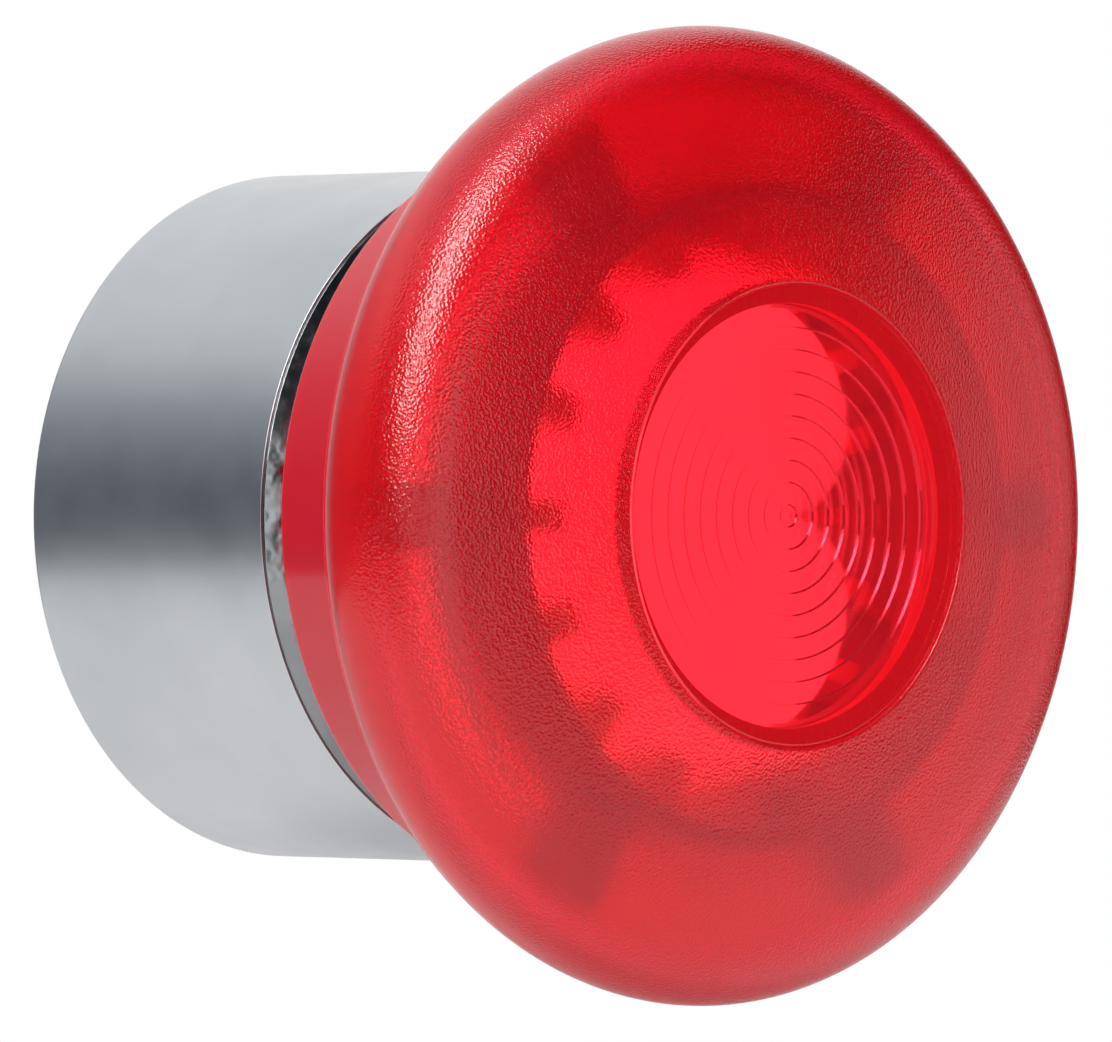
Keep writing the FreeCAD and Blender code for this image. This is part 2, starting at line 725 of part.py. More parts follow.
def make_stop_clip():
    """The open spring ring that stops the plunger at the barrel's shoulder."""
    front = d.clip_groove + d.clip_thickness
    ring = tube("stop_clip_ring", d.clip_chamber - d.air, d.clip_seat, d.clip_groove, front)
    gap = block("stop_clip_gap", d.clip_gap, d.clip_chamber, d.clip_groove - PAST, front + PAST,
                0.0, -d.clip_chamber)
    return removed("stop_clip", ring, gap)


def make_contact_pusher():
    """The ring behind the plunger, with two legs that reach through the floor to the contact blocks."""
    ring_rear = d.plunger_rear - d.pusher_thickness
    ring = tube("pusher_ring", d.plunger_radius, plunger_bore, ring_rear, d.plunger_rear)
    leg_ring = tube("pusher_leg_ring", leg_outer, leg_inner, d.pusher_tip, ring_rear)
    leg_bar = block("pusher_leg_bar", d.clip_chamber * 2, d.pusher_leg_width, d.pusher_tip, ring_rear)
    legs = kept("pusher_legs", leg_ring, leg_bar)
    return united("contact_pusher", [ring, legs])


# ---------------------------------------------------------------- head

plate_front = d.plate_depth + d.plate_thickness
skirt_plate_front = plate_front + d.skirt_plate
carrier_rear = skirt_plate_front + d.diffuser_flange

# The rounded edge of the cap is a circle about (edge_centre, head_depth). The dome's sphere touches it.
edge_centre = d.head_radius - d.head_edge
lens_rear = d.lens_depth - d.lens_thickness
lens_seat = lens_rear - d.lens_seal
lens_throat = d.lens_radius - d.lens_ledge


def dome_depth(radius, inset):
    """Depth of the dome, or of a surface a wall's thickness behind it, at a radius."""
    centre_gap = math.sqrt((d.head_dome.value - d.head_edge.value) ** 2 - edge_centre.value ** 2)
    sphere_centre = d.head_depth.value - centre_gap
    return sphere_centre + math.sqrt((d.head_dome.value - inset) ** 2 - radius ** 2)


def edge_touch(inset):
    """Radius and depth where the dome runs into the rounded edge, a wall's thickness inside the surface."""
    centre_gap = math.sqrt((d.head_dome.value - d.head_edge.value) ** 2 - edge_centre.value ** 2)
    tilt = math.atan2(edge_centre.value, centre_gap)
    reach = d.head_edge.value - inset
    return (edge_centre.value + reach * math.sin(tilt), d.head_depth.value + reach * math.cos(tilt))


def make_mushroom_cap():
    """The translucent front shell, open in the middle for the lens."""
    wall = d.head_wall.value
    inner_edge = d.head_edge - d.head_wall
    drop = d.head_depth.value - d.head_parting.value
    rim_outer = edge_centre.value + math.sqrt(d.head_edge.value ** 2 - drop ** 2)
    seat_radius = d.lens_radius + d.snug
    touch_outer = edge_touch(0.0)
    touch_inner = edge_touch(wall)
    rim_inner = d.head_radius - d.head_wall
    return turned("mushroom_cap", [
        (rim_inner, d.head_parting),
        (rim_outer, d.head_parting),
        touch_outer,
        (seat_radius, dome_depth(seat_radius.value, 0.0)),
        (seat_radius, lens_seat),
        (lens_throat, lens_seat),
        (lens_throat, dome_depth(lens_throat.value, wall)),
        touch_inner,
        (rim_inner, d.head_depth),
    ], {
        1: d.head_edge,
        2: d.head_dome,
        6: -(d.head_dome - d.head_wall),
        7: -inner_edge,
    })


def make_fresnel_lens():
    """The lens disc: smooth in front, with concentric saw-tooth rings behind."""
    draft = 0.02  # the steep side of a ring leans a little, so that the lens leaves its mould
    rings = int((lens_throat.value - d.lens_centre.value) / d.lens_pitch.value) + 1
    corners = [(0, lens_rear + d.lens_step)]
    for ring in range(rings):
        foot = d.lens_centre + d.lens_pitch * ring
        corners.append((foot, lens_rear))
        corners.append((foot + draft, lens_rear + d.lens_step))
    corners += [
        (lens_throat, lens_rear),
        (d.lens_radius, lens_rear),
        (d.lens_radius, d.lens_depth - d.lens_chamfer),
        (d.lens_radius - d.lens_chamfer, d.lens_depth),
        (0, d.lens_depth),
    ]
    return turned("fresnel_lens", corners)


def make_lens_gasket():
    """The seal under the edge of the lens."""
    return tube("lens_gasket", d.lens_radius, lens_throat + d.snug, lens_seat, lens_rear)


def make_mushroom_skirt():
    """The rear half of the head: a short tube that passes over the collar and flares to the cap's edge."""
    body = turned("skirt_shell", [
        (d.skirt_bore, d.skirt_depth),
        (d.skirt_edge_radius, d.skirt_depth),
        (d.skirt_edge_radius + d.skirt_taper, d.skirt_depth + d.skirt_tube),
        (d.skirt_lip - d.skirt_lip_bead, d.head_parting - d.skirt_lip_height),
        (d.skirt_lip, d.head_parting),
        (d.skirt_rim_inner, d.head_parting),
        (d.skirt_plate_outer, skirt_plate_front),
        (d.skirt_plate_bore, skirt_plate_front),
        (d.skirt_plate_bore, plate_front),
        (d.plate_radius + d.skirt_taper, plate_front),
        (d.skirt_bore, plate_front - d.skirt_bore_corner),
    ], {2: -d.skirt_flare})
    rear = plate_front - PAST
    front = skirt_plate_front + PAST
    holes = united("skirt_screw_holes", [
        rod(f"skirt_screw_hole_{number}", d.screw_radius, rear, front, x, z)
        for number, (x, z) in enumerate(screw_places())
    ])
    return removed("mushroom_skirt", body, holes)


def make_diffuser():
    """The pale cup behind the lens, with a flange under the ribs."""
    wall = d.diffuser_wall
    body = turned("diffuser_cup", [
        (d.diffuser_radius - wall, skirt_plate_front),
        (d.carrier_wall_outer, skirt_plate_front),
        (d.carrier_wall_outer, carrier_rear),
        (d.diffuser_radius, carrier_rear),
        (d.diffuser_radius, d.diffuser_depth),
        (0, d.diffuser_depth),
        (0, d.diffuser_depth - wall),
        (d.diffuser_radius - wall, d.diffuser_depth - wall),
    ])
    rear = skirt_plate_front - PAST
    front = carrier_rear + PAST
    holes = united("diffuser_screw_holes", [
        rod(f"diffuser_screw_hole_{number}", d.screw_radius, rear, front, x, z)
        for number, (x, z) in enumerate(screw_places())
    ])
    return removed("diffuser", body, holes)


def make_rib_carrier():
    """The ring wall under the cap with radial ribs inside it, webs outside it and bosses for the screws."""
    base_front = carrier_rear + d.rib_base
    body = turned("carrier_blank", [
        (d.rib_inner, carrier_rear),
        (d.carrier_wall_outer, carrier_rear),
        (d.carrier_wall_outer, d.carrier_front),
        (d.carrier_wall_inner, d.carrier_front),
        (d.carrier_wall_inner, base_front),
        (d.rib_inner, base_front),
    ])
    rib = rectangle(d.rib_inner, d.carrier_wall_inner + d.rib_root, d.rib_width / 2)
    padded(body, "rib", rib, carrier_rear, d.rib_front - carrier_rear, d.rib_count)
    web = rectangle(d.carrier_wall_outer - d.rib_root, d.web_outer, d.web_width / 2)
    padded(body, "web", web, d.head_parting, d.web_front - d.head_parting, d.web_count)
    bosses = united("screw_bosses", [body] + [
        rod(f"screw_boss_{number}", d.screw_radius + d.boss_wall, carrier_rear, d.screw_tip + d.boss_wall, x, z)
        for number, (x, z) in enumerate(screw_places())
    ])
    holes = united("boss_holes", [
        rod(f"boss_hole_{number}", d.screw_radius, carrier_rear - PAST, d.screw_tip, x, z)
        for number, (x, z) in enumerate(screw_places())
    ])
    return removed("rib_carrier", bosses, holes)


# ---------------------------------------------------------------- lamp

holder_floor = d.lamp_rear - d.contact_height
contact_foot = holder_floor - d.contact_root


def make_lamp_holder():
    """The insulating socket that stands on the floor of the housing, with its tail in the stem."""
    tail = floor_front - d.holder_tail
    flange_top = floor_front + d.holder_flange_height
    body = turned("holder_blank", [
        (0, tail),
        (d.stem_bore - d.snug, tail),
        (d.stem_bore - d.snug, floor_front),
        (d.holder_flange, floor_front),
        (d.holder_flange, flange_top),
        (d.holder_radius, flange_top),
        (d.holder_radius, d.holder_front),
        (d.lamp_radius + d.running, d.holder_front),
        (d.lamp_radius + d.running, holder_floor),
        (0, holder_floor),
    ])
    cavities = [rod("contact_cavity", d.contact_radius, contact_foot, holder_floor + PAST)]
    cavities += [
        block(f"blade_cavity_{name}", d.blade_width, d.blade_thickness, tail - PAST, holder_floor,
              0.0, d.blade_offset * side)
        for name, side in BLADES
    ]
    return removed("lamp_holder", body, united("holder_cavities", cavities))


def make_centre_contact():
    """The brass contact that the lamp stands on."""
    return rod("centre_contact", d.contact_radius, contact_foot, d.lamp_rear)


def make_lamp_terminals():
    """The two blades for the lamp's wires."""
    return grouped("lamp_terminals", [
        block(f"terminal_{name}", d.blade_width, d.blade_thickness, d.blade_tip, holder_floor,
              0.0, d.blade_offset * side)
        for name, side in BLADES
    ])


def make_lamp_base():
    """The metal base of the lamp, with a rolled rim."""
    rim_rear = d.lamp_front - d.lamp_rim_height
    rim_outer = d.lamp_radius + d.lamp_rim
    return turned("lamp_base", [
        (0, d.lamp_rear),
        (d.lamp_radius - d.lamp_bevel, d.lamp_rear),
        (d.lamp_radius, d.lamp_rear + d.lamp_bevel),
        (d.lamp_radius, rim_rear),
        (rim_outer, rim_rear),
        (rim_outer, d.lamp_front),
        (0, d.lamp_front),
    ])


def make_lamp_dome():
    """The dome of the lamp."""
    shoulder = d.lamp_dome_depth - d.lamp_dome_radius
    return turned("lamp_dome", [
        (0, d.lamp_front),
        (d.lamp_dome_radius, d.lamp_front),
        (d.lamp_dome_radius, shoulder),
        (0, d.lamp_dome_depth),
    ], {2: d.lamp_dome_radius})


# ---------------------------------------------------------------- the whole button

MAKERS = (
    make_collar,
    make_front_ring,
    make_housing_body,
    make_panel_gasket,
    make_guide_bush,
    make_wiper_seal,
    make_latch_ring,
    make_follower_pins,
    make_latch_spring,
    make_return_spring,
    make_plunger,
    make_cap_screws,
    make_stop_clip,
    make_contact_pusher,
    make_mushroom_cap,
    make_fresnel_lens,
    make_lens_gasket,
    make_mushroom_skirt,
    make_diffuser,
    make_rib_carrier,
    make_lamp_holder,
    make_centre_contact,
    make_lamp_terminals,
    make_lamp_base,
    make_lamp_dome,
)

pieces = []
for maker in MAKERS:
    piece = maker()
    piece.Label = maker.__name__.removeprefix("make_")
    pieces.append(piece)
doc.recompute()

for item in doc.Objects:
    if "Invalid" in item.State or "Error" in item.State:
        raise RuntimeError(f"{item.Name} failed: {item.State}")

for piece in pieces:
    if piece.Shape.isNull() or not piece.Shape.isValid():
        raise RuntimeError(piece.Label + " has no valid shape")

os.makedirs("parts", exist_ok=True)
for piece in pieces:
    piece.Shape.exportStep(f"parts/{piece.Label}.step")
    print(piece.Label, len(piece.Shape.Solids), "solids", round(piece.Shape.Volume, 1), "mm3")
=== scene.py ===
"""Looks of an illuminated emergency stop button with a translucent red mushroom head.

The button's axis lies along Y. The mounting face is the plane Y = 0 and the head points to -Y, with +Z up.
Lengths are in millimetres unless a name says otherwise, and a "depth" is the distance in front of the
mounting face, so Y = -depth.
"""

import sys
import logging
import math
from collections.abc import Sequence
from dataclasses import dataclass, field
from enum import Enum

import bmesh
import bpy
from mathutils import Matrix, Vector


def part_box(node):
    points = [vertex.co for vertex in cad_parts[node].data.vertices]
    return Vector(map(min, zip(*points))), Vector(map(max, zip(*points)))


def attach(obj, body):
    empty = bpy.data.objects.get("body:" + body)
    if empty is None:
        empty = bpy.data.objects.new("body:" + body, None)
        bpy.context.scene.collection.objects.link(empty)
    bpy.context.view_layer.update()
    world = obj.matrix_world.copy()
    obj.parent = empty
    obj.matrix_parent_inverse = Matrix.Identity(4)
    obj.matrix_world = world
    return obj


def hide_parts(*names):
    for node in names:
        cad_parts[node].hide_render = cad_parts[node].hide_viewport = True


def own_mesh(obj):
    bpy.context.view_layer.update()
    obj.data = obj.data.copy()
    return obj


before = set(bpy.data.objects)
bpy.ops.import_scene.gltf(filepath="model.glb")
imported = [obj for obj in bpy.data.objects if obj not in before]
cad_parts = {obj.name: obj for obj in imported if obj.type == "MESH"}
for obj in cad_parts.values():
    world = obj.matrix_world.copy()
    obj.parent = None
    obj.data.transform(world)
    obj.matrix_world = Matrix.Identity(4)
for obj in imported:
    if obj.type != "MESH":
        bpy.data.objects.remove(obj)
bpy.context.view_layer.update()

log = logging.getLogger("emergency_stop_button")

MM = 0.001  # metres in a millimetre
FULL_TURN = 360  # degrees
ROUND = 192  # facets round a turned piece
SMALL_ROUND = 96  # facets round a small or hidden piece
FILLET_STEPS = 5  # facets in the round of an edge
SIDE_SHARE = 0.45  # share of a side that the round of one corner may take
BEVEL_STEPS = 3  # facets in the round of a bar's edge
ROUND_PROFILE = 0.5  # a bevel's profile that is a circle's arc
ROD_FACETS = 32  # facets round a screw or a boss
COIL_STEPS = 40  # facets in one turn of a spring
WIRE_FACETS = 14  # facets round a spring's wire
HOLD = 0.04  # distance from the end of a straight run to the row of points that keeps it flat
CURVE_STEPS = 15  # facets along a curved window
LONG_RUN = 6 * HOLD  # a straight run shorter than this needs no such rows
ON_AXIS = HOLD / 100  # a point nearer than this to the axis is the pole of a turned piece
SHARP = math.radians(32)  # edges sharper than this stay crisp
COLOUR_A, COLOUR_B, COLOUR_RESULT = 6, 7, 2  # sockets of a Mix node that are for colours
CALM, BUSY = 0.3, 0.7  # the range of a noise texture that holds nearly all of its values
GRAIN_START = 25.2  # depth where the cap's leather grain starts, as it fades out towards the rim
GRAIN_FULL = 26.6  # depth from which it is at its deepest
PEBBLE_WIDTH = 0.12  # width of a pebble of the leather grain
PEBBLE_DEPTH = 0.024  # depth of the grooves between the pebbles
PEBBLE_SOFTNESS = 0.6  # how rounded the pebbles are, from 0 to 1

Point = tuple[float, float]  # radius and depth
Sockets = dict[str, bpy.types.NodeSocket]


class Body(Enum):
    """The parts of the button that move as one."""

    HOUSING = "housing"
    HEAD = "mushroom"
    LATCH = "latch"


class Texture(Enum):
    """How the surface of a moulded piece was made in its mould."""

    POLISHED = "polished"
    LEATHER = "leather"
    SPARK_ERODED = "spark_eroded"


class Plating(Enum):
    """How a metal surface was finished."""

    SATIN = "satin"
    BRIGHT = "bright"
    DRAWN = "drawn"


# ------------------------------------------------------------------------------------------ shapes


@dataclass(frozen=True)
class Reach:
    """How far a node of the frame reaches: outer radius about the button's axis, and rear and front depth."""

    radius: float
    rear: float
    front: float

    @classmethod
    def of(cls, node: str) -> "Reach":
        """Measures the node with that name."""
        low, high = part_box(node)
        return cls(min(high.x, -low.x) / MM, -high.y / MM, -low.y / MM)


@dataclass(frozen=True)
class Corner:
    """A corner of an outline, with the radius of its round."""

    radius: float
    depth: float
    fillet: float = 0.0


def arc(centre: Point, radius: float, start: float, end: float, steps: int) -> list[Corner]:
    """Points of an arc in an outline.

    Args:
        centre: Radius and depth of the arc's centre.
        radius: The arc's radius.
        start: Angle of the first point in degrees, 0 outwards and 90 towards the front.
        end: Angle of the last point.
        steps: Number of straight facets.

    Returns:
        The points, both ends among them.
    """
    angles = [math.radians(start + (end - start) * step / steps) for step in range(steps + 1)]
    return [Corner(centre[0] + radius * math.cos(a), centre[1] + radius * math.sin(a)) for a in angles]


def filleted(before: Corner, corner: Corner, after: Corner) -> list[Point]:
    """The points that round one corner of an outline.

    Args:
        before: The corner ahead of it.
        corner: The corner to round.
        after: The corner behind it.

    Returns:
        The points of the round, or the corner itself where it has none.
    """
    here = Vector((corner.radius, corner.depth, 0))
    back = Vector((before.radius, before.depth, 0)) - here
    ahead = Vector((after.radius, after.depth, 0)) - here
    if not corner.fillet:
        return [(corner.radius, corner.depth)]
    half = back.angle(ahead) / 2
    reach = min(corner.fillet / math.tan(half), SIDE_SHARE * back.length, SIDE_SHARE * ahead.length)
    radius = reach * math.tan(half)
    centre = here + (back.normalized() + ahead.normalized()).normalized() * radius / math.sin(half)
    start = here + back.normalized() * reach - centre
    end = here + ahead.normalized() * reach - centre
    whole = start.angle(end)
    points = []
    for step in range(FILLET_STEPS + 1):
        share = step / FILLET_STEPS
        spoke = (start * math.sin((1 - share) * whole) + end * math.sin(share * whole)) / math.sin(whole)
        points.append((centre.x + spoke.x, centre.y + spoke.y))
    return points


def held(points: Sequence[Point]) -> list[Point]:
    """Adds a point near both ends of each long straight run of a closed outline, so that it shades flat.

    Args:
        points: The outline.

    Returns:
        The outline with the points added.
    """
    result = []
    for start, end in zip(points, [*points[1:], points[0]]):
        result.append(start)
        length = math.dist(start, end)
        if length > LONG_RUN:
            for share in (HOLD / length, 1 - HOLD / length):
                result.append(tuple(a + (b - a) * share for a, b in zip(start, end)))
    return result


def placed(name: str, mesh: bmesh.types.BMesh) -> bpy.types.Object:
    """A new object from the mesh, smooth with crisp edges.

    Args:
        name: The piece's name.
        mesh: Its mesh, which is freed.

    Returns:
        The object, linked into the scene.
    """
    mesh.normal_update()
    bmesh.ops.recalc_face_normals(mesh, faces=mesh.faces)
    if all(edge.is_manifold for edge in mesh.edges) and mesh.calc_volume(signed=True) < 0:
        bmesh.ops.reverse_faces(mesh, faces=mesh.faces)
    data = bpy.data.meshes.new(name)
    mesh.to_mesh(data)
    mesh.free()
    piece = bpy.data.objects.new(name, data)
    bpy.context.scene.collection.objects.link(piece)
    shaded(piece)
    return piece


def shaded(piece: bpy.types.Object) -> None:
    """Gives the piece smooth shading, with its crisp edges marked."""
    piece.data.shade_smooth()
    piece.data.set_sharp_from_angle(angle=SHARP)


def turned(name: str, corners: Sequence[Corner], facets: int = ROUND) -> bpy.types.Object:
    """A closed shape turned about the button's axis.

    Args:
        name: The piece's name.
        corners: Its closed outline.
        facets: Number of facets round the axis.

    Returns:
        The piece.
    """
    ring = list(corners)
    points: list[Point] = []
    for before, corner, after in zip([ring[-1], *ring[:-1]], ring, [*ring[1:], ring[0]]):
        points.extend(filleted(before, corner, after))
    mesh = bmesh.new()
    rows = []
    for radius, depth in held(points):
        if radius < ON_AXIS:
            rows.append([mesh.verts.new((0.0, -depth * MM, 0.0))] * facets)
            continue
        angles = [math.tau * facet / facets for facet in range(facets)]
        rows.append([
            mesh.verts.new((radius * MM * math.cos(a), -depth * MM, radius * MM * math.sin(a)))
            for a in angles
        ])
    for row, following in zip(rows, [*rows[1:], rows[0]]):
        for facet in range(facets):
            side = (facet + 1) % facets
            around = dict.fromkeys((row[facet], row[side], following[side], following[facet]))
            if len(around) > 2:
                mesh.faces.new(list(around))
    return placed(name, mesh)


def tube(name: str, outer: float, inner: float, rear: float, front: float, fillet: float,
         facets: int = ROUND) -> bpy.types.Object:
    """A turned ring with rounded edges.

    Args:
        name: The piece's name.
        outer: Outer radius.
        inner: Inner radius.
        rear: Depth of its rear face.
        front: Depth of its front face.
        fillet: Radius of its edges.
        facets: Number of facets round the axis.

    Returns:
        The piece.
    """
    return turned(name, [
        Corner(inner, rear, fillet),
        Corner(outer, rear, fillet),
        Corner(outer, front, fillet),
        Corner(inner, front, fillet),
    ], facets)


def bar(name: str, near: float, far: float, width: float, rear: float, front: float,
        fillet: float) -> bpy.types.Object:
    """A radial bar along +X with rounded edges.

    Args:
        name: The piece's name.
        near: Radius of its inner end.
        far: Radius of its outer end.
        width: Size across.
        rear: Depth of its rear face.
        front: Depth of its front face.
        fillet: Radius of its edges.

    Returns:
        The piece.
    """
    mesh = bmesh.new()
    bmesh.ops.create_cube(mesh, size=1.0)
    for corner in mesh.verts:
        corner.co = Vector((
            (near + far) / 2 + (far - near) * corner.co.x,
            -(rear + front) / 2 + (front - rear) * corner.co.y,
            width * corner.co.z,
        )) * MM
    bmesh.ops.bevel(mesh, geom=mesh.edges[:], offset=fillet * MM, segments=BEVEL_STEPS, profile=ROUND_PROFILE,
                     affect="EDGES")
    return placed(name, mesh)


def rod(name: str, radius: float, rear: float, front: float, offset: float, fillet: float,
        facets: int = ROD_FACETS) -> bpy.types.Object:
    """A round bar along the button's axis, moved out along +X.

    Args:
        name: The piece's name.
        radius: Its radius.
        rear: Depth of its rear face.
        front: Depth of its front face.
        offset: Distance of its centre from the button's axis.
        fillet: Radius of its edges.
        facets: Number of facets round it.

    Returns:
        The piece.
    """
    corners = [Corner(0, rear), Corner(radius, rear, fillet), Corner(radius, front, fillet), Corner(0, front)]
    piece = turned(name, corners, facets)
    for corner in piece.data.vertices:
        corner.co.x += offset * MM
    return piece


def curved_bar(name: str, inner: float, outer: float, width: float, rear: float, front: float,
               side: int) -> bpy.types.Object:
    """The part of a ring that lies within a width, on one side of the button's axis.

    Args:
        name: The piece's name.
        inner: Inner radius of the ring.
        outer: Its outer radius.
        width: Size across.
        rear: Depth of its rear face.
        front: Depth of its front face.
        side: 1 for the side of +X and -1 for the other.

    Returns:
        The piece.
    """
    mesh = bmesh.new()
    rows = []
    for step in range(CURVE_STEPS + 1):
        across = width * (step / CURVE_STEPS - 0.5)
        near, far = (side * math.sqrt(radius ** 2 - across ** 2) for radius in (inner, outer))
        rows.append([
            mesh.verts.new(Vector((out, -depth, across)) * MM)
            for out, depth in ((near, rear), (far, rear), (far, front), (near, front))
        ])
    for row, following in zip(rows, rows[1:]):
        for corner, after in zip(range(4), (1, 2, 3, 0)):
            mesh.faces.new((row[corner], row[after], following[after], following[corner]))
    mesh.faces.new(rows[0])
    mesh.faces.new(rows[-1])
    return placed(name, mesh)


def joined(name: str, pieces: Sequence[bpy.types.Object]) -> bpy.types.Object:
    """Makes several pieces one object.

    Args:
        name: The new piece's name.
        pieces: The pieces, which are removed.

    Returns:
        The new piece.
    """
    mesh = bmesh.new()
    for piece in pieces:
        mesh.from_mesh(piece.data)
        bpy.data.objects.remove(piece)
    return placed(name, mesh)


def settled(piece: bpy.types.Object) -> bpy.types.Object:
    """Makes what a piece's modifiers show its plain mesh.

    Args:
        piece: The piece, which loses its modifiers.

    Returns:
        The same piece.
    """
    evaluated = piece.evaluated_get(bpy.context.evaluated_depsgraph_get())
    mesh = bpy.data.meshes.new_from_object(evaluated)
    piece.modifiers.clear()
    piece.data = mesh
    shaded(piece)
    return piece


def carved(piece: bpy.types.Object, cutters: Sequence[bpy.types.Object]) -> bpy.types.Object:
    """The piece with the cutters taken out of it.

    Args:
        piece: The piece to cut.
        cutters: Closed pieces, which are removed.

    Returns:
        The same piece, cut.
    """
    for cutter in cutters:
        cut = piece.modifiers.new(cutter.name, "BOOLEAN")
        cut.operation = "DIFFERENCE"
        cut.solver = "EXACT"
        cut.object = cutter
    settled(piece)
    for cutter in cutters:
        bpy.data.objects.remove(cutter)
    return piece


# ------------------------------------------------------------------------------------------ nodes


def add_node(tree: bpy.types.NodeTree, kind: str, settings: dict[str, object] | None = None,
             inputs: dict[str | int, object] | None = None) -> bpy.types.Node:
    """Adds a node with its settings, and fills or links its inputs.

    Args:
        tree: The tree that gets the node.
        kind: The node's type.
        settings: Values of the node's properties.
        inputs: A value, or an output socket to link from, for each input name or number.

    Returns:
        The node.
    """
    added = tree.nodes.new(kind)
    for name, value in (settings or {}).items():
        setattr(added, name, value)
    for name, value in (inputs or {}).items():
        if isinstance(value, bpy.types.NodeSocket):
            tree.links.new(value, added.inputs[name])
        else:
            added.inputs[name].default_value = value
    return added


def linear(colour: str) -> tuple[float, float, float, float]:
    """A colour in the renderer's linear light.

    Args:
        colour: sRGB colour as #RRGGBB.

    Returns:
        Red, green, blue and alpha.
    """
    parts = [int(colour[place:place + 2], 16) / 255 for place in (1, 3, 5)]
    # the sRGB standard's curve, with its straight start
    red, green, blue = (p / 12.92 if p <= 0.04045 else ((p + 0.055) / 1.055) ** 2.4 for p in parts)
    return (red, green, blue, 1.0)


def pattern_scale(size: float) -> float:
    """The scale of a procedural texture whose features are that many millimetres wide."""
    return 1 / (size * MM)


def new_rule(name: str, sizes: dict[str, str]) -> tuple[bpy.types.NodeTree, Sockets]:
    """An empty geometry tree with named inputs.

    Args:
        name: The tree's name.
        sizes: Socket type of each input after the geometry.

    Returns:
        The tree, and the outputs of its input node by name.
    """
    tree = bpy.data.node_groups.new(name, "GeometryNodeTree")
    tree.interface.new_socket("Geometry", in_out="OUTPUT", socket_type="NodeSocketGeometry")
    tree.interface.new_socket("Geometry", in_out="INPUT", socket_type="NodeSocketGeometry")
    for size, kind in sizes.items():
        tree.interface.new_socket(size, in_out="INPUT", socket_type="NodeSocket" + kind)
    start = add_node(tree, "NodeGroupInput")
    return tree, {socket.name: socket for socket in start.outputs if socket.name}


def end_rule(tree: bpy.types.NodeTree, shape: bpy.types.NodeSocket, finish: bpy.types.NodeSocket) -> None:
    """Ends a geometry tree with real geometry that has its material.

    Args:
        tree: The tree.
        shape: The output with the finished geometry.
        finish: The output with the material.
    """
    real = add_node(tree, "GeometryNodeRealizeInstances", inputs={"Geometry": shape})
    dressed = add_node(tree, "GeometryNodeSetMaterial", inputs={
        "Geometry": real.outputs[0], "Material": finish,
    })
    add_node(tree, "NodeGroupOutput", inputs={0: dressed.outputs[0]})


def calculated(tree: bpy.types.NodeTree, operation: str, first: object, second: object = 0.0,
               clamp: bool = False) -> bpy.types.NodeSocket:
    """One step of arithmetic in a tree.

    Args:
        tree: The tree.
        operation: The Math node's operation.
        first: Its first value, or the output that gives it.
        second: Its second value, or the output that gives it.
        clamp: Whether the result is kept from 0 to 1.

    Returns:
        The result.
    """
    settings = {"operation": operation, "use_clamp": clamp}
    return add_node(tree, "ShaderNodeMath", settings, {0: first, 1: second}).outputs[0]


def shaped_by(tree: bpy.types.NodeTree, blank: bpy.types.Object,
              sizes: dict[str, object]) -> bpy.types.Object:
    """The blank as the geometry tree shapes it, made a plain mesh.

    Args:
        tree: The tree.
        blank: The piece that it starts from.
        sizes: A value for each of the tree's named inputs.

    Returns:
        The same object with its new mesh.
    """
    modifier = blank.modifiers.new(tree.name, "NODES")
    modifier.node_group = tree
    for item in tree.interface.items_tree:
        if item.item_type == "SOCKET" and item.in_out == "INPUT" and item.name in sizes:
            modifier[item.identifier] = sizes[item.name]
    return settled(blank)


def ring_rule() -> bpy.types.NodeTree:
    """The rule that repeats a piece evenly round the button's axis.

    Returns:
        The tree.
    """
    tree, given = new_rule("ring_of_pieces", {"Count": "Int", "First angle": "Float", "Finish": "Material"})
    points = add_node(tree, "GeometryNodePoints", inputs={"Count": given["Count"]})
    number = add_node(tree, "GeometryNodeInputIndex")
    step = calculated(tree, "DIVIDE", -math.tau, given["Count"])
    turn = calculated(tree, "MULTIPLY", number.outputs[0], step)
    angle = calculated(tree, "SUBTRACT", turn, given["First angle"])
    about_axis = add_node(tree, "ShaderNodeCombineXYZ", inputs={"Y": angle})
    rotation = add_node(tree, "FunctionNodeEulerToRotation", inputs={0: about_axis.outputs[0]})
    ring = add_node(tree, "GeometryNodeInstanceOnPoints", inputs={
        "Points": points.outputs[0], "Instance": given["Geometry"], "Rotation": rotation.outputs[0],
    })
    end_rule(tree, ring.outputs[0], given["Finish"])
    return tree


def coil_rule() -> bpy.types.NodeTree:
    """The rule that winds a wire into a coil along the button's axis.

    Returns:
        The tree.
    """
    tree, given = new_rule("wound_wire", {
        "Coil radius": "Float", "Wire radius": "Float", "Rear": "Float", "Length": "Float", "Turns": "Float",
        "Finish": "Material",
    })
    spiral = add_node(tree, "GeometryNodeCurveSpiral", inputs={
        "Resolution": COIL_STEPS, "Rotations": given["Turns"], "Start Radius": given["Coil radius"],
        "End Radius": given["Coil radius"], "Height": given["Length"],
    })
    place = add_node(tree, "ShaderNodeCombineXYZ", inputs={"Y": given["Rear"]})
    laid = add_node(tree, "GeometryNodeTransform", inputs={
        "Geometry": spiral.outputs[0], "Translation": place.outputs[0], "Rotation": (math.pi / 2, 0.0, 0.0),
    })
    section = add_node(tree, "GeometryNodeCurvePrimitiveCircle", inputs={
        "Resolution": WIRE_FACETS, "Radius": given["Wire radius"],
    })
    wire = add_node(tree, "GeometryNodeCurveToMesh", inputs={
        "Curve": laid.outputs[0], "Profile Curve": section.outputs[0], "Fill Caps": True,
    })
    end_rule(tree, wire.outputs[0], given["Finish"])
    return tree


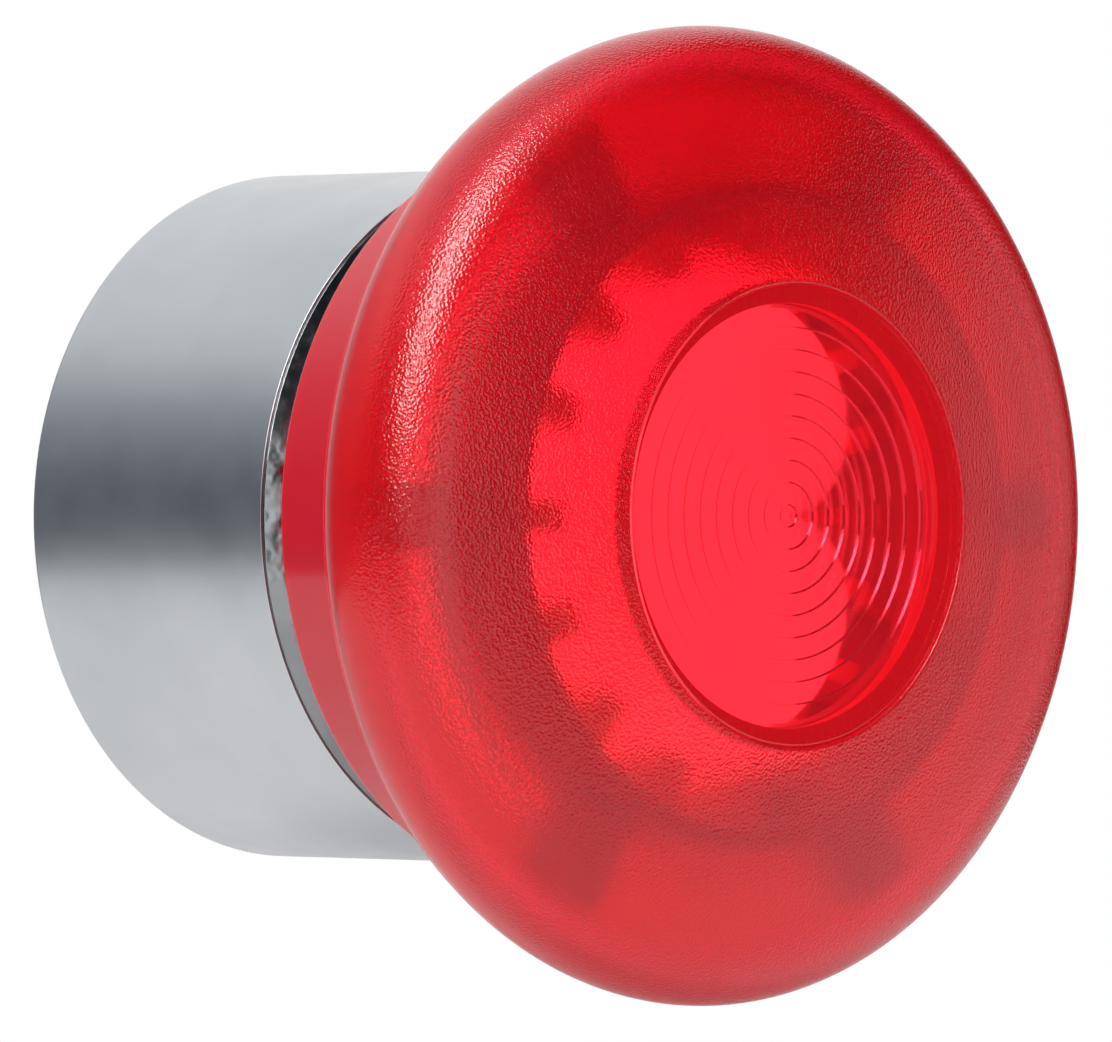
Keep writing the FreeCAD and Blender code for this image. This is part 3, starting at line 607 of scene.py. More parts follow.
def radius_field(tree: bpy.types.NodeTree) -> tuple[Sockets, bpy.types.NodeSocket, bpy.types.NodeSocket]:
    """Where each point of the geometry lies.

    Args:
        tree: The tree.

    Returns:
        Its coordinates by name, its place seen along the button's axis, and its distance from that axis.
    """
    place = add_node(tree, "GeometryNodeInputPosition")
    parts = add_node(tree, "ShaderNodeSeparateXYZ", inputs={0: place.outputs[0]}).outputs
    across = add_node(tree, "ShaderNodeCombineXYZ", inputs={"X": parts["X"], "Z": parts["Z"]}).outputs[0]
    radius = add_node(tree, "ShaderNodeVectorMath", {"operation": "LENGTH"}, {0: across}).outputs["Value"]
    return {name: parts[name] for name in "XYZ"}, across, radius


def lens_rule() -> bpy.types.NodeTree:
    """The rule that cuts the concentric saw-tooth rings into the rear face of the lens.

    Returns:
        The tree.
    """
    tree, given = new_rule("lens_rings", {
        "Middle": "Float", "Centre": "Float", "Pitch": "Float", "Step": "Float", "Edge": "Float",
        "Finish": "Material",
    })
    parts, _, radius = radius_field(tree)
    out = calculated(tree, "SUBTRACT", radius, given["Centre"])
    teeth = calculated(tree, "DIVIDE", out, given["Pitch"])
    tooth = calculated(tree, "FRACT", teeth)
    slope = calculated(tree, "SUBTRACT", tooth, 1.0)
    rise = calculated(tree, "MULTIPLY", slope, given["Step"])
    shift = add_node(tree, "ShaderNodeCombineXYZ", inputs={"Y": rise})
    behind = calculated(tree, "GREATER_THAN", parts["Y"], given["Middle"])
    inside = calculated(tree, "LESS_THAN", radius, given["Edge"])
    cut = add_node(tree, "GeometryNodeSetPosition", inputs={
        "Geometry": given["Geometry"], "Selection": calculated(tree, "MULTIPLY", behind, inside),
        "Offset": shift.outputs[0],
    })
    end_rule(tree, cut.outputs[0], given["Finish"])
    return tree


def thread_rule() -> bpy.types.NodeTree:
    """The rule that cuts a screw thread into the outside of a tube, fading out at both ends.

    Returns:
        The tree.
    """
    tree, given = new_rule("screw_thread", {
        "Core": "Float", "Pitch": "Float", "Groove": "Float", "Start": "Float", "End": "Float",
        "Finish": "Material",
    })
    parts, across, radius = radius_field(tree)
    angle = calculated(tree, "ARCTAN2", parts["Z"], parts["X"])
    turns = calculated(tree, "DIVIDE", angle, math.tau)
    along = calculated(tree, "DIVIDE", parts["Y"], given["Pitch"])
    wave = calculated(tree, "PINGPONG", calculated(tree, "ADD", turns, along), 0.5)
    fades = []
    for end, half_pitch in (("Start", 2.0), ("End", -2.0)):
        gap = calculated(tree, "SUBTRACT", parts["Y"], given[end])
        reach = calculated(tree, "DIVIDE", gap, given["Pitch"])
        fades.append(calculated(tree, "MULTIPLY", reach, half_pitch, clamp=True))
    fade = calculated(tree, "MULTIPLY", *fades)
    groove = calculated(tree, "MULTIPLY", wave, given["Groove"])
    depth = calculated(tree, "MULTIPLY", groove, fade)
    inwards = calculated(tree, "DIVIDE", depth, radius)
    # the wave is 0.5 high, so twice as much gives the groove's full depth
    shift = add_node(tree, "ShaderNodeVectorMath", {"operation": "SCALE"}, {
        0: across, "Scale": calculated(tree, "MULTIPLY", inwards, -2.0),
    })
    cut = add_node(tree, "GeometryNodeSetPosition", inputs={
        "Geometry": given["Geometry"], "Selection": calculated(tree, "GREATER_THAN", radius, given["Core"]),
        "Offset": shift.outputs[0],
    })
    end_rule(tree, cut.outputs[0], given["Finish"])
    return tree


# ------------------------------------------------------------------------------------------ finishes


@dataclass(frozen=True)
class Finish:
    """What a surface is made of. A subclass gives its shader its grain and its wear."""

    name: str
    colour: str
    roughness: float

    def material(self) -> bpy.types.Material:
        """The material of this finish, made once.

        Returns:
            The material.
        """
        made = bpy.data.materials.get(self.name)
        if made:
            return made
        made = bpy.data.materials.new(self.name)
        made.use_nodes = True
        tree = made.node_tree
        tree.nodes.clear()
        shader = add_node(tree, "ShaderNodeBsdfPrincipled", inputs={
            "Base Color": linear(self.colour), "Roughness": self.roughness,
        })
        add_node(tree, "ShaderNodeOutputMaterial", inputs={"Surface": shader.outputs[0]})
        place = add_node(tree, "ShaderNodeTexCoord")
        self.dress(tree, shader, place.outputs["Object"])
        return made

    def dress(self, tree: bpy.types.NodeTree, shader: bpy.types.Node, place: bpy.types.NodeSocket) -> None:
        """Adds what the subclass knows about the surface."""
        raise NotImplementedError

    def noise(self, tree: bpy.types.NodeTree, place: bpy.types.NodeSocket, width: float,
              detail: float = 2.0) -> bpy.types.NodeSocket:
        """Cloudy variation.

        Args:
            tree: The material's tree.
            place: The coordinates it lies in.
            width: Width of its features in millimetres.
            detail: How many finer layers it has.

        Returns:
            A value from 0 to 1.
        """
        clouds = add_node(tree, "ShaderNodeTexNoise", inputs={
            "Vector": place, "Scale": pattern_scale(width), "Detail": detail,
        })
        return clouds.outputs[0]

    def vary_roughness(self, tree: bpy.types.NodeTree, shader: bpy.types.Node, noise: bpy.types.NodeSocket,
                       spread: float) -> None:
        """Lets the roughness swing about its value.

        Args:
            tree: The material's tree.
            shader: Its shader.
            noise: The variation that it follows.
            spread: How far it swings each way.
        """
        swing = add_node(tree, "ShaderNodeMapRange", inputs={
            "Value": noise, "From Min": CALM, "From Max": BUSY,
            "To Min": max(self.roughness - spread, 0.0), "To Max": self.roughness + spread,
        })
        tree.links.new(swing.outputs[0], shader.inputs["Roughness"])

    def vary_colour(self, tree: bpy.types.NodeTree, shader: bpy.types.Node, noise: bpy.types.NodeSocket,
                    other: str) -> None:
        """Lets the colour drift between the finish's own and another one.

        Args:
            tree: The material's tree.
            shader: Its shader.
            noise: The variation that it follows.
            other: The other colour.
        """
        drift = add_node(tree, "ShaderNodeValToRGB", inputs={"Fac": noise})
        ends = ((CALM, self.colour), (BUSY, other))
        for stop, (position, colour) in zip(drift.color_ramp.elements, ends):
            stop.position = position
            stop.color = linear(colour)
        tree.links.new(drift.outputs[0], shader.inputs["Base Color"])

    def raise_grain(self, tree: bpy.types.NodeTree, shader: bpy.types.Node, height: bpy.types.NodeSocket,
                    depth: float, strength: float = 1.0) -> None:
        """Gives the surface a fine relief.

        Args:
            tree: The material's tree.
            shader: Its shader.
            height: The relief, from 0 to 1.
            depth: Its depth in millimetres.
            strength: How much of it shows.
        """
        bump = add_node(tree, "ShaderNodeBump", inputs={
            "Height": height, "Distance": depth * MM, "Strength": strength,
        })
        tree.links.new(bump.outputs[0], shader.inputs["Normal"])


@dataclass(frozen=True)
class Polycarbonate(Finish):
    """Clear or coloured plastic that lets light through: deep and glossy, with a strong edge reflection."""

    shade: str = "#C01018"
    clear: float = 1.0
    painted_scatter_glow: float = 0.0
    texture: Texture = Texture.POLISHED
    ior: float = 1.585

    def dress(self, tree: bpy.types.NodeTree, shader: bpy.types.Node, place: bpy.types.NodeSocket) -> None:
        """Lets light through, with the grain of the mould, and gives it a painted glow.

        Args:
            tree: The material's tree.
            shader: Its shader.
            place: The coordinates that patterns lie in.
        """
        shader.inputs["IOR"].default_value = self.ior
        shader.inputs["Transmission Weight"].default_value = self.clear
        # painted glow: emission in the tint colour, on a piece that is no lamp
        shader.inputs["Emission Color"].default_value = linear(self.shade)
        shader.inputs["Emission Strength"].default_value = self.painted_scatter_glow
        self.vary_colour(tree, shader, self.noise(tree, place, width=9.0), self.shade)
        if self.texture is Texture.LEATHER:
            pebbles = add_node(tree, "ShaderNodeTexVoronoi", {"feature": "SMOOTH_F1"}, {
                "Vector": place, "Scale": pattern_scale(PEBBLE_WIDTH), "Smoothness": PEBBLE_SOFTNESS,
            })
            parts = add_node(tree, "ShaderNodeSeparateXYZ", inputs={0: place})
            fade = add_node(tree, "ShaderNodeMapRange", inputs={
                "Value": parts.outputs["Y"], "From Min": -GRAIN_START * MM, "From Max": -GRAIN_FULL * MM,
            })
            height = calculated(tree, "MULTIPLY", pebbles.outputs["Distance"], fade.outputs[0])
            self.raise_grain(tree, shader, height, depth=PEBBLE_DEPTH)
            self.vary_roughness(tree, shader, self.noise(tree, place, width=0.5), spread=0.04)
        else:
            self.raise_grain(tree, shader, self.noise(tree, place, width=3.0), depth=0.01, strength=0.4)
            self.vary_roughness(tree, shader, self.noise(tree, place, width=1.5), spread=0.02)


@dataclass(frozen=True)
class Plated(Finish):
    """Metal or plated metal. Satin plating blurs what it mirrors, bright plating mirrors it."""

    plating: Plating = Plating.SATIN
    tarnish: str = "#B9BBBE"

    def dress(self, tree: bpy.types.NodeTree, shader: bpy.types.Node, place: bpy.types.NodeSocket) -> None:
        """Makes it metal, with the marks of its finishing.

        Args:
            tree: The material's tree.
            shader: Its shader.
            place: The coordinates that patterns lie in.
        """
        shader.inputs["Metallic"].default_value = 1.0
        self.vary_colour(tree, shader, self.noise(tree, place, width=7.0, detail=3.0), self.tarnish)
        if self.plating is Plating.SATIN:
            # a satin bath leaves a fine frost of about 0.1 mm
            self.raise_grain(tree, shader, self.noise(tree, place, width=0.12), depth=0.002)
            self.vary_roughness(tree, shader, self.noise(tree, place, width=2.0, detail=4.0), spread=0.03)
        elif self.plating is Plating.BRIGHT:
            # polishing before the plating leaves slight waves about a millimetre wide
            self.raise_grain(tree, shader, self.noise(tree, place, width=1.2), depth=0.05, strength=0.8)
            self.vary_roughness(tree, shader, self.noise(tree, place, width=0.6), spread=0.06)
        else:
            # drawing and rolling leave marks of about 0.2 mm
            self.raise_grain(tree, shader, self.noise(tree, place, width=0.2), depth=0.004)
            self.vary_roughness(tree, shader, self.noise(tree, place, width=1.0), spread=0.06)


@dataclass(frozen=True)
class Moulded(Finish):
    """Opaque moulded plastic: a soft sheen, and a fine spark-eroded grain where the mould has one."""

    flow: str = "#202124"
    texture: Texture = Texture.SPARK_ERODED
    ior: float = 1.53
    painted_glow: float = 0.0

    def dress(self, tree: bpy.types.NodeTree, shader: bpy.types.Node, place: bpy.types.NodeSocket) -> None:
        """Adds the flow of the plastic, the grain of the mould and any painted glow.

        Args:
            tree: The material's tree.
            shader: Its shader.
            place: The coordinates that patterns lie in.
        """
        shader.inputs["IOR"].default_value = self.ior
        # painted glow: emission in the finish's own colour, on a piece that is no lamp
        shader.inputs["Emission Color"].default_value = linear(self.colour)
        shader.inputs["Emission Strength"].default_value = self.painted_glow
        self.vary_colour(tree, shader, self.noise(tree, place, width=5.0), self.flow)
        grain = 0.12 if self.texture is Texture.SPARK_ERODED else 0.8
        self.raise_grain(tree, shader, self.noise(tree, place, width=grain), depth=0.008)
        self.vary_roughness(tree, shader, self.noise(tree, place, width=1.2), spread=0.05)


@dataclass(frozen=True)
class Rubber(Finish):
    """Rubber: dull, with a bloom that changes its colour in places."""

    bloom: str = "#2A2A2B"
    painted_scatter_glow: float = 0.0
    ior: float = 1.52
    sheen: float = 0.1

    def dress(self, tree: bpy.types.NodeTree, shader: bpy.types.Node, place: bpy.types.NodeSocket) -> None:
        """Adds the bloom, a dull grain and a painted glow.

        Args:
            tree: The material's tree.
            shader: Its shader.
            place: The coordinates that patterns lie in.
        """
        shader.inputs["IOR"].default_value = self.ior
        shader.inputs["Sheen Weight"].default_value = self.sheen
        # painted glow: emission in the rubber's own colour, on a piece that is no lamp
        shader.inputs["Emission Color"].default_value = linear(self.colour)
        shader.inputs["Emission Strength"].default_value = self.painted_scatter_glow
        self.vary_colour(tree, shader, self.noise(tree, place, width=1.5, detail=3.0), self.bloom)
        self.raise_grain(tree, shader, self.noise(tree, place, width=0.15), depth=0.01)
        self.vary_roughness(tree, shader, self.noise(tree, place, width=0.8), spread=0.06)


# In the clear plastics and the silicone the emission is a weak painted glow. It stands in for the lamp's
# light scattered inside them, because the lamp gives no light in the scene.

# moulded in a leather-grained mould: deep red with a weak painted glow, and the grain breaks every highlight
# into specks
CAP_RED = Polycarbonate("red_polycarbonate_leather_grain", "#FF2240", 0.2, shade="#FC2030", clear=0.88,
                        painted_scatter_glow=0.052, texture=Texture.LEATHER)
# moulded in a polished mould: the same red with a weak painted glow and long, smooth highlights
SKIRT_RED = Polycarbonate("red_polycarbonate_glossy", "#FF2840", 0.15, shade="#FA243C", clear=0.6, painted_scatter_glow=0.05)
# optical grade, polished on both faces, with a weak painted glow: the diffuser's painted lamp glow and the
# rings show sharply through it
LENS_RED = Polycarbonate("red_polycarbonate_clear", "#FF3A4E", 0.06, shade="#FF364A", clear=0.86, painted_scatter_glow=0.03)
# thick walls and webs: a darker copy of the same red, painted shade where the lamp doesn't shine through: the
# dark marks behind the cap
CARRIER_RED_PAINTED_SHADE = Moulded("red_polycarbonate_painted_shade", "#B01420", 0.35, flow="#A8121E",
                      texture=Texture.POLISHED, ior=1.585)
# ribs: a lighter copy of the same red, painted half light from the lamp, with dark edges
RIB_RED_PAINTED_HALF_LIGHT = Moulded("red_polycarbonate_ribs_painted_half_light", "#E4283A", 0.35, flow="#DC2434", texture=Texture.POLISHED,
                  ior=1.585)
# a thin floor in front of the diffuser: a much lighter copy of the same red with a painted glow, painted lamp
# light for the bright ring round the lens
CARRIER_FLOOR_PAINTED_LIGHT = Moulded("red_polycarbonate_thin_wall_painted_light", "#FF5058", 0.35, flow="#F84850",
                        texture=Texture.POLISHED, ior=1.585, painted_glow=0.08)
# moulded silicone, soft and matt, with a painted glow in place of the lamp's light through it: the even red
# under the lens's edge
LENS_SILICONE = Rubber("red_silicone_rubber", "#FF3848", 0.5, bloom="#F83444", painted_scatter_glow=0.12)
# milky polycarbonate with a strong painted glow that stands in for the lamp behind it: an even pale glow
DIFFUSER_OPAL = Moulded("opal_polycarbonate", "#F2EEE8", 0.4, flow="#ECE8E0", texture=Texture.POLISHED,
                        ior=1.585, painted_glow=1.3)
# chrome over a satin nickel layer: soft bands of grey, with no sharp reflection
COLLAR_SATIN = Plated("satin_chrome_plate", "#D2D4D6", 0.32, tarnish="#C8CBCD")
# chrome over polished brass: a hard mirror, black and white, broken by slight waves
BEVEL_BRIGHT = Plated("bright_chrome_plate", "#A8AAAC", 0.14, plating=Plating.BRIGHT, tarnish="#707376")
# moulded polyamide with glass fibre: black, a little rough, with a dull sheen
HOUSING_NYLON = Moulded("glass_filled_polyamide", "#1B1C1E", 0.48, flow="#232427")
# moulded acetal, uncoloured: waxy, smooth and cream white
BUSH_ACETAL = Moulded("natural_acetal", "#DEDBD0", 0.42, flow="#D6D2C4", texture=Texture.POLISHED, ior=1.48)
# moulded acetal, coloured grey: waxy and smooth
PLUNGER_ACETAL = Moulded("grey_acetal", "#55585C", 0.42, flow="#4C4F53", texture=Texture.POLISHED, ior=1.48)
# moulded acetal, coloured orange: waxy and smooth
LATCH_ACETAL = Moulded("orange_acetal", "#D98A1E", 0.4, flow="#CC7E18", texture=Texture.POLISHED, ior=1.48)
# moulded nitrile rubber: near black, dull, with a grey bloom
SEAL_RUBBER = Rubber("nitrile_rubber", "#161617", 0.62)
# cold-drawn steel wire: grey, with fine drawing marks
SPRING_WIRE = Plated("drawn_spring_steel", "#A6A7AA", 0.3, plating=Plating.DRAWN, tarnish="#8E8F92")
# steel with clear zinc: bluish grey with a yellowish tinge in places
SCREW_ZINC = Plated("zinc_plated_steel", "#B8BCC0", 0.34, plating=Plating.DRAWN, tarnish="#A5A79A")
# brass with nickel over it: warm grey and fairly bright
LAMP_NICKEL = Plated("nickel_plated_brass", "#CFCBBF", 0.2, plating=Plating.DRAWN, tarnish="#C0B99E")
# bare rolled brass: yellow, a little dull
CONTACT_BRASS = Plated("rolled_brass", "#C9A255", 0.26, plating=Plating.DRAWN, tarnish="#B58E46")
# moulded thermoset: ivory and matt
HOLDER_THERMOSET = Moulded("ivory_thermoset", "#DCD3BE", 0.5, flow="#D2C8B0", ior=1.55)
# cast epoxy with a milky filler: cloudy white
LAMP_EPOXY = Polycarbonate("milky_epoxy", "#F4F4F2", 0.35, shade="#EDEDEA", clear=0.4, ior=1.5)


def fitted(piece: bpy.types.Object, finish: Finish, body: Body,
           nodes: Sequence[str]) -> bpy.types.Object:
    """Gives a new piece its finish and its place in the assembly.

    Args:
        piece: The piece.
        finish: What it is made of.
        body: What it moves with.
        nodes: The nodes of the frame that it stands for.

    Returns:
        The piece.
    """
    material = finish.material()
    piece.data.materials.clear()
    piece.data.materials.append(material)
    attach(piece, body.value)
    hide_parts(*nodes)
    log.info("%s: %d faces, %s", piece.name, len(piece.data.polygons), material.name)
    return piece


def redressed(node: str, finish: Finish) -> None:
    """Gives a node of the frame that stays in view its finish.

    Args:
        node: The node's name.
        finish: What it is made of.
    """
    material = finish.material()
    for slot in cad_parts[node].material_slots:
        slot.material = material
    log.info("%s stays, %s", node, material.name)


def wound(name: str, node: str, coil: float, wire: float, pitch: float) -> bpy.types.Object:
    """A spring as long as its node in the frame.

    Args:
        name: The spring's name.
        node: Its node.
        coil: Mean radius of the coil.
        wire: Radius of the wire.
        pitch: Distance from turn to turn.

    Returns:
        The spring.
    """
    reach = Reach.of(node)
    length = reach.front - reach.rear - 2 * wire
    blank = bpy.data.objects.new(name, bpy.data.meshes.new(name))
    bpy.context.scene.collection.objects.link(blank)
    return shaped_by(coil_rule(), blank, {
        "Coil radius": coil * MM,
        "Wire radius": wire * MM,
        "Rear": -(reach.rear + wire) * MM,
        "Length": length * MM,
        "Turns": length / pitch,
        "Finish": SPRING_WIRE.material(),
    })


# ------------------------------------------------------------------------------------------ sub-assemblies


@dataclass
class Collar:
    """The satin sleeve and the bright bevelled ring in front of it."""

    wall: float = 1.2
    lip: float = 0.7
    gasket: float = 1.0
    rear_edge: float = 0.22
    front_edge: float = 0.05
    ring_play: float = 0.03
    ring_wall: float = 0.85
    bevel_foot: float = 0.05
    bevel_width: float = 0.8
    foot_edge: float = 0.04
    brow_edge: float = 0.12
    bore_edge: float = 0.1

    def build(self) -> None:
        """Makes both rings."""
        sleeve = Reach.of("collar")
        ring = Reach.of("front_ring")
        bore = sleeve.radius - self.wall
        fitted(turned("collar_sleeve", [
            Corner(bore - self.lip, sleeve.rear),
            Corner(sleeve.radius, sleeve.rear, self.rear_edge),
            Corner(sleeve.radius, sleeve.front, self.front_edge),
            Corner(bore, sleeve.front),
            Corner(bore, sleeve.rear + self.gasket),
            Corner(bore - self.lip, sleeve.rear + self.gasket),
        ]), COLLAR_SATIN, Body.HOUSING, ["collar"])
        press_fit = bore - self.ring_play
        inner = press_fit - self.ring_wall
        foot = sleeve.radius - self.bevel_foot
        fitted(turned("bevel_ring", [
            Corner(inner, ring.rear),
            Corner(press_fit, ring.rear),
            Corner(press_fit, sleeve.front),
            Corner(foot, sleeve.front, self.foot_edge),
            Corner(foot - self.bevel_width, ring.front, self.brow_edge),
            Corner(inner, ring.front, self.bore_edge),
        ]), BEVEL_BRIGHT, Body.HOUSING, ["front_ring"])


@dataclass
class Housing:
    """The moulding that goes through the panel, with its seals and the plunger's bearing."""

    barrel: float = 10.7
    barrel_bore: float = 9.68
    barrel_front: float = 9.2
    barrel_edge: float = 0.1
    chamber: float = 10.25
    shoulder: float = 4.4
    flange: float = 13.17
    flange_front: float = 2.6
    spigot: float = 11.0
    spigot_rear: float = -3.4
    spigot_edge: float = 0.2
    relief: float = 10.7
    relief_rear: float = -0.3
    relief_edge: float = 0.05
    gasket_front: float = 1.0
    gasket_play: float = 0.03
    gasket_edge: float = 0.12
    floor_front: float = -2.4
    stem_bore: float = 5.2
    stem_radius: float = 6.0
    stem_chamfer: float = 0.4
    thread_pitch: float = 1.0
    thread_depth: float = 0.55
    thread_rows: int = 60
    keyway_width: float = 1.6
    keyway_depth: float = 0.4
    keyway_edge: float = 0.05
    window_outer: float = 9.65
    window_inner: float = 8.45
    window_width: float = 5.6
    past: float = 0.5
    seal_lip: float = 9.75
    seal_body: float = 0.7
    seal_groove: float = 0.35
    seal_root: float = 0.25
    seal_shoulder: float = 0.9
    seal_edges: tuple[float, float, float, float] = (0.12, 0.1, 0.08, 0.06)

    def build(self) -> None:
        """Makes the moulding, its threaded stem and the two seals."""
        self.moulding()
        self.stem()
        gasket = Reach.of("panel_gasket")
        flat = tube("flat_gasket", gasket.radius, self.spigot + self.gasket_play, gasket.rear, gasket.front,
                    self.gasket_edge)
        fitted(flat, SEAL_RUBBER, Body.HOUSING, ["panel_gasket"])
        self.wiper()
        redressed("guide_bush", BUSH_ACETAL)

    def moulding(self) -> None:
        """Barrel, flange, spigot and floor, with the keyway and the two windows."""
        body = turned("housing_moulding", [
            Corner(self.stem_bore, self.spigot_rear),
            Corner(self.spigot, self.spigot_rear, self.spigot_edge),
            Corner(self.spigot, self.relief_rear, self.relief_edge),
            Corner(self.relief, self.relief_rear),
            Corner(self.relief, self.gasket_front),
            Corner(self.flange, self.gasket_front),
            Corner(self.flange, self.flange_front),
            Corner(self.barrel, self.flange_front),
            Corner(self.barrel, self.barrel_front, self.barrel_edge),
            Corner(self.barrel_bore, self.barrel_front, self.barrel_edge),
            Corner(self.barrel_bore, self.shoulder),
            Corner(self.chamber, self.shoulder),
            Corner(self.chamber, self.floor_front),
            Corner(self.stem_bore, self.floor_front),
        ])
        behind = self.spigot_rear - self.past
        windows = [
            curved_bar(f"window_{side}", self.window_inner, self.window_outer, self.window_width, behind,
                       self.floor_front + self.past, side)
            for side in (1, -1)
        ]
        key_floor = self.spigot - self.keyway_depth
        keyway = bar("keyway", key_floor, self.spigot + self.past, self.keyway_width, behind, 0.0,
                     self.keyway_edge)
        for corner in keyway.data.vertices:
            corner.co.x, corner.co.z = -corner.co.z, corner.co.x
        carved(body, [*windows, keyway])
        fitted(body, HOUSING_NYLON, Body.HOUSING, ["housing_body"])

    def stem(self) -> None:
        """The threaded stem behind the floor."""
        end = Reach.of("housing_body").rear
        thread_start = end + self.stem_chamfer
        run = self.spigot_rear - end - self.stem_chamfer
        blank = turned("housing_stem", [
            Corner(self.stem_bore, end),
            Corner(self.stem_radius - self.stem_chamfer, end),
            *(Corner(self.stem_radius, thread_start + run * row / self.thread_rows)
              for row in range(self.thread_rows + 1)),
            Corner(self.stem_bore, self.spigot_rear),
        ], SMALL_ROUND)
        stem = shaped_by(thread_rule(), blank, {
            "Core": (self.stem_bore + self.stem_radius) / 2 * MM,
            "Pitch": self.thread_pitch * MM,
            "Groove": self.thread_depth * MM,
            "Start": -self.spigot_rear * MM,
            "End": -end * MM,
            "Finish": HOUSING_NYLON.material(),
        })
        fitted(stem, HOUSING_NYLON, Body.HOUSING, ["housing_body"])

    def wiper(self) -> None:
        """The lip seal round the plunger."""
        seal = Reach.of("wiper_seal")
        body_front = seal.rear + self.seal_body
        shoulder_edge, neck_edge, nose_edge, lip_edge = self.seal_edges
        fitted(turned("lip_seal", [
            Corner(self.seal_lip + self.seal_groove, seal.rear),
            Corner(seal.radius, seal.rear),
            Corner(seal.radius, body_front, shoulder_edge),
            Corner(self.seal_lip + self.seal_shoulder, body_front, neck_edge),
            Corner(self.seal_lip + self.seal_root, seal.front, nose_edge),
            Corner(self.seal_lip, seal.front, lip_edge),
            Corner(self.seal_lip, seal.front - self.seal_groove),
            Corner(self.seal_lip + self.seal_groove, body_front - self.seal_root),
        ]), SEAL_RUBBER, Body.HOUSING, ["wiper_seal"])


@dataclass
class Cap:
    """The grained front shell, open in the middle for the ringed lens and the seal under the lens's edge."""

    rim: float = 3.7
    dome: float = 62.0
    wall: float = 2.0
    widest: float = 1.68
    seat_gap: float = 0.03
    seat_ledge: float = 0.8
    seat_edge: float = 0.1
    facets: int = 256
    seal: float = 0.25
    seal_play: float = 0.03
    seal_edge: float = 0.05
    ring_pitch: float = 0.9
    ring_step: float = 0.2
    ring_centre: float = 0.45
    ring_row: float = 0.06
    lens_rear_edge: float = 0.05
    lens_front_edge: float = 0.14

    def build(self) -> None:
        """Makes the shell, the lens and its seal."""
        self.shell()
        self.lens()

    def shell(self) -> None:
        """The shell: a rounded rim, a flat dome and the lens's seat."""
        shell = Reach.of("mushroom_cap")
        lens = Reach.of("fresnel_lens")
        round_centre = (shell.radius - self.rim, shell.rear + self.widest)
        rise = math.sqrt((self.dome - self.rim) ** 2 - round_centre[0] ** 2)
        dome_centre = (0.0, round_centre[1] - rise)
        tilt = math.degrees(math.atan2(round_centre[0], rise))
        foot = -math.degrees(math.asin(self.widest / self.rim))
        seat = lens.radius + self.seat_gap
        throat = lens.radius - self.seat_ledge
        seat_depth = lens.rear - self.seal
        inner_start = math.degrees(math.asin(throat / (self.dome - self.wall)))
        outer_end = math.degrees(math.asin(seat / self.dome))
        fitted(turned("cap_shell", [
            Corner(shell.radius - self.wall, shell.rear),
            *arc(round_centre, self.rim, foot, 90 - tilt, 40),
            *arc(dome_centre, self.dome, 90 - tilt, 90 - outer_end, 16)[1:-1],
            Corner(seat, dome_centre[1] + math.sqrt(self.dome ** 2 - seat ** 2), self.seat_edge),
            Corner(seat, seat_depth),
            Corner(throat, seat_depth, self.seat_edge),
            *arc(dome_centre, self.dome - self.wall, 90 - inner_start, 90 - tilt, 12),
            *arc(round_centre, self.rim - self.wall, 90 - tilt, 0, 16)[1:],
        ], self.facets), CAP_RED, Body.HEAD, ["mushroom_cap"])

    def lens(self) -> None:
        """The ringed lens and the seal under its edge."""
        disc = Reach.of("fresnel_lens")
        ledge = disc.radius - self.seat_ledge
        rows = round(ledge / self.ring_row)
        blank = turned("lens_disc", [
            *(Corner(ledge * row / rows, disc.rear) for row in range(rows + 1)),
            Corner(disc.radius, disc.rear, self.lens_rear_edge),
            Corner(disc.radius, disc.front, self.lens_front_edge),
            Corner(0.0, disc.front),
        ])
        lens = shaped_by(lens_rule(), blank, {
            "Middle": -(disc.rear + disc.front) / 2 * MM,
            "Centre": self.ring_centre * MM,
            "Pitch": self.ring_pitch * MM,
            "Step": self.ring_step * MM,
            "Edge": (ledge - self.ring_row / 2) * MM,
            "Finish": LENS_RED.material(),
        })
        fitted(lens, LENS_RED, Body.HEAD, ["fresnel_lens"])
        gasket = Reach.of("lens_gasket")
        seal = tube("lens_seal", gasket.radius, ledge + self.seal_play, gasket.rear, gasket.front,
                    self.seal_edge)
        fitted(seal, LENS_SILICONE, Body.HEAD, ["lens_gasket"])


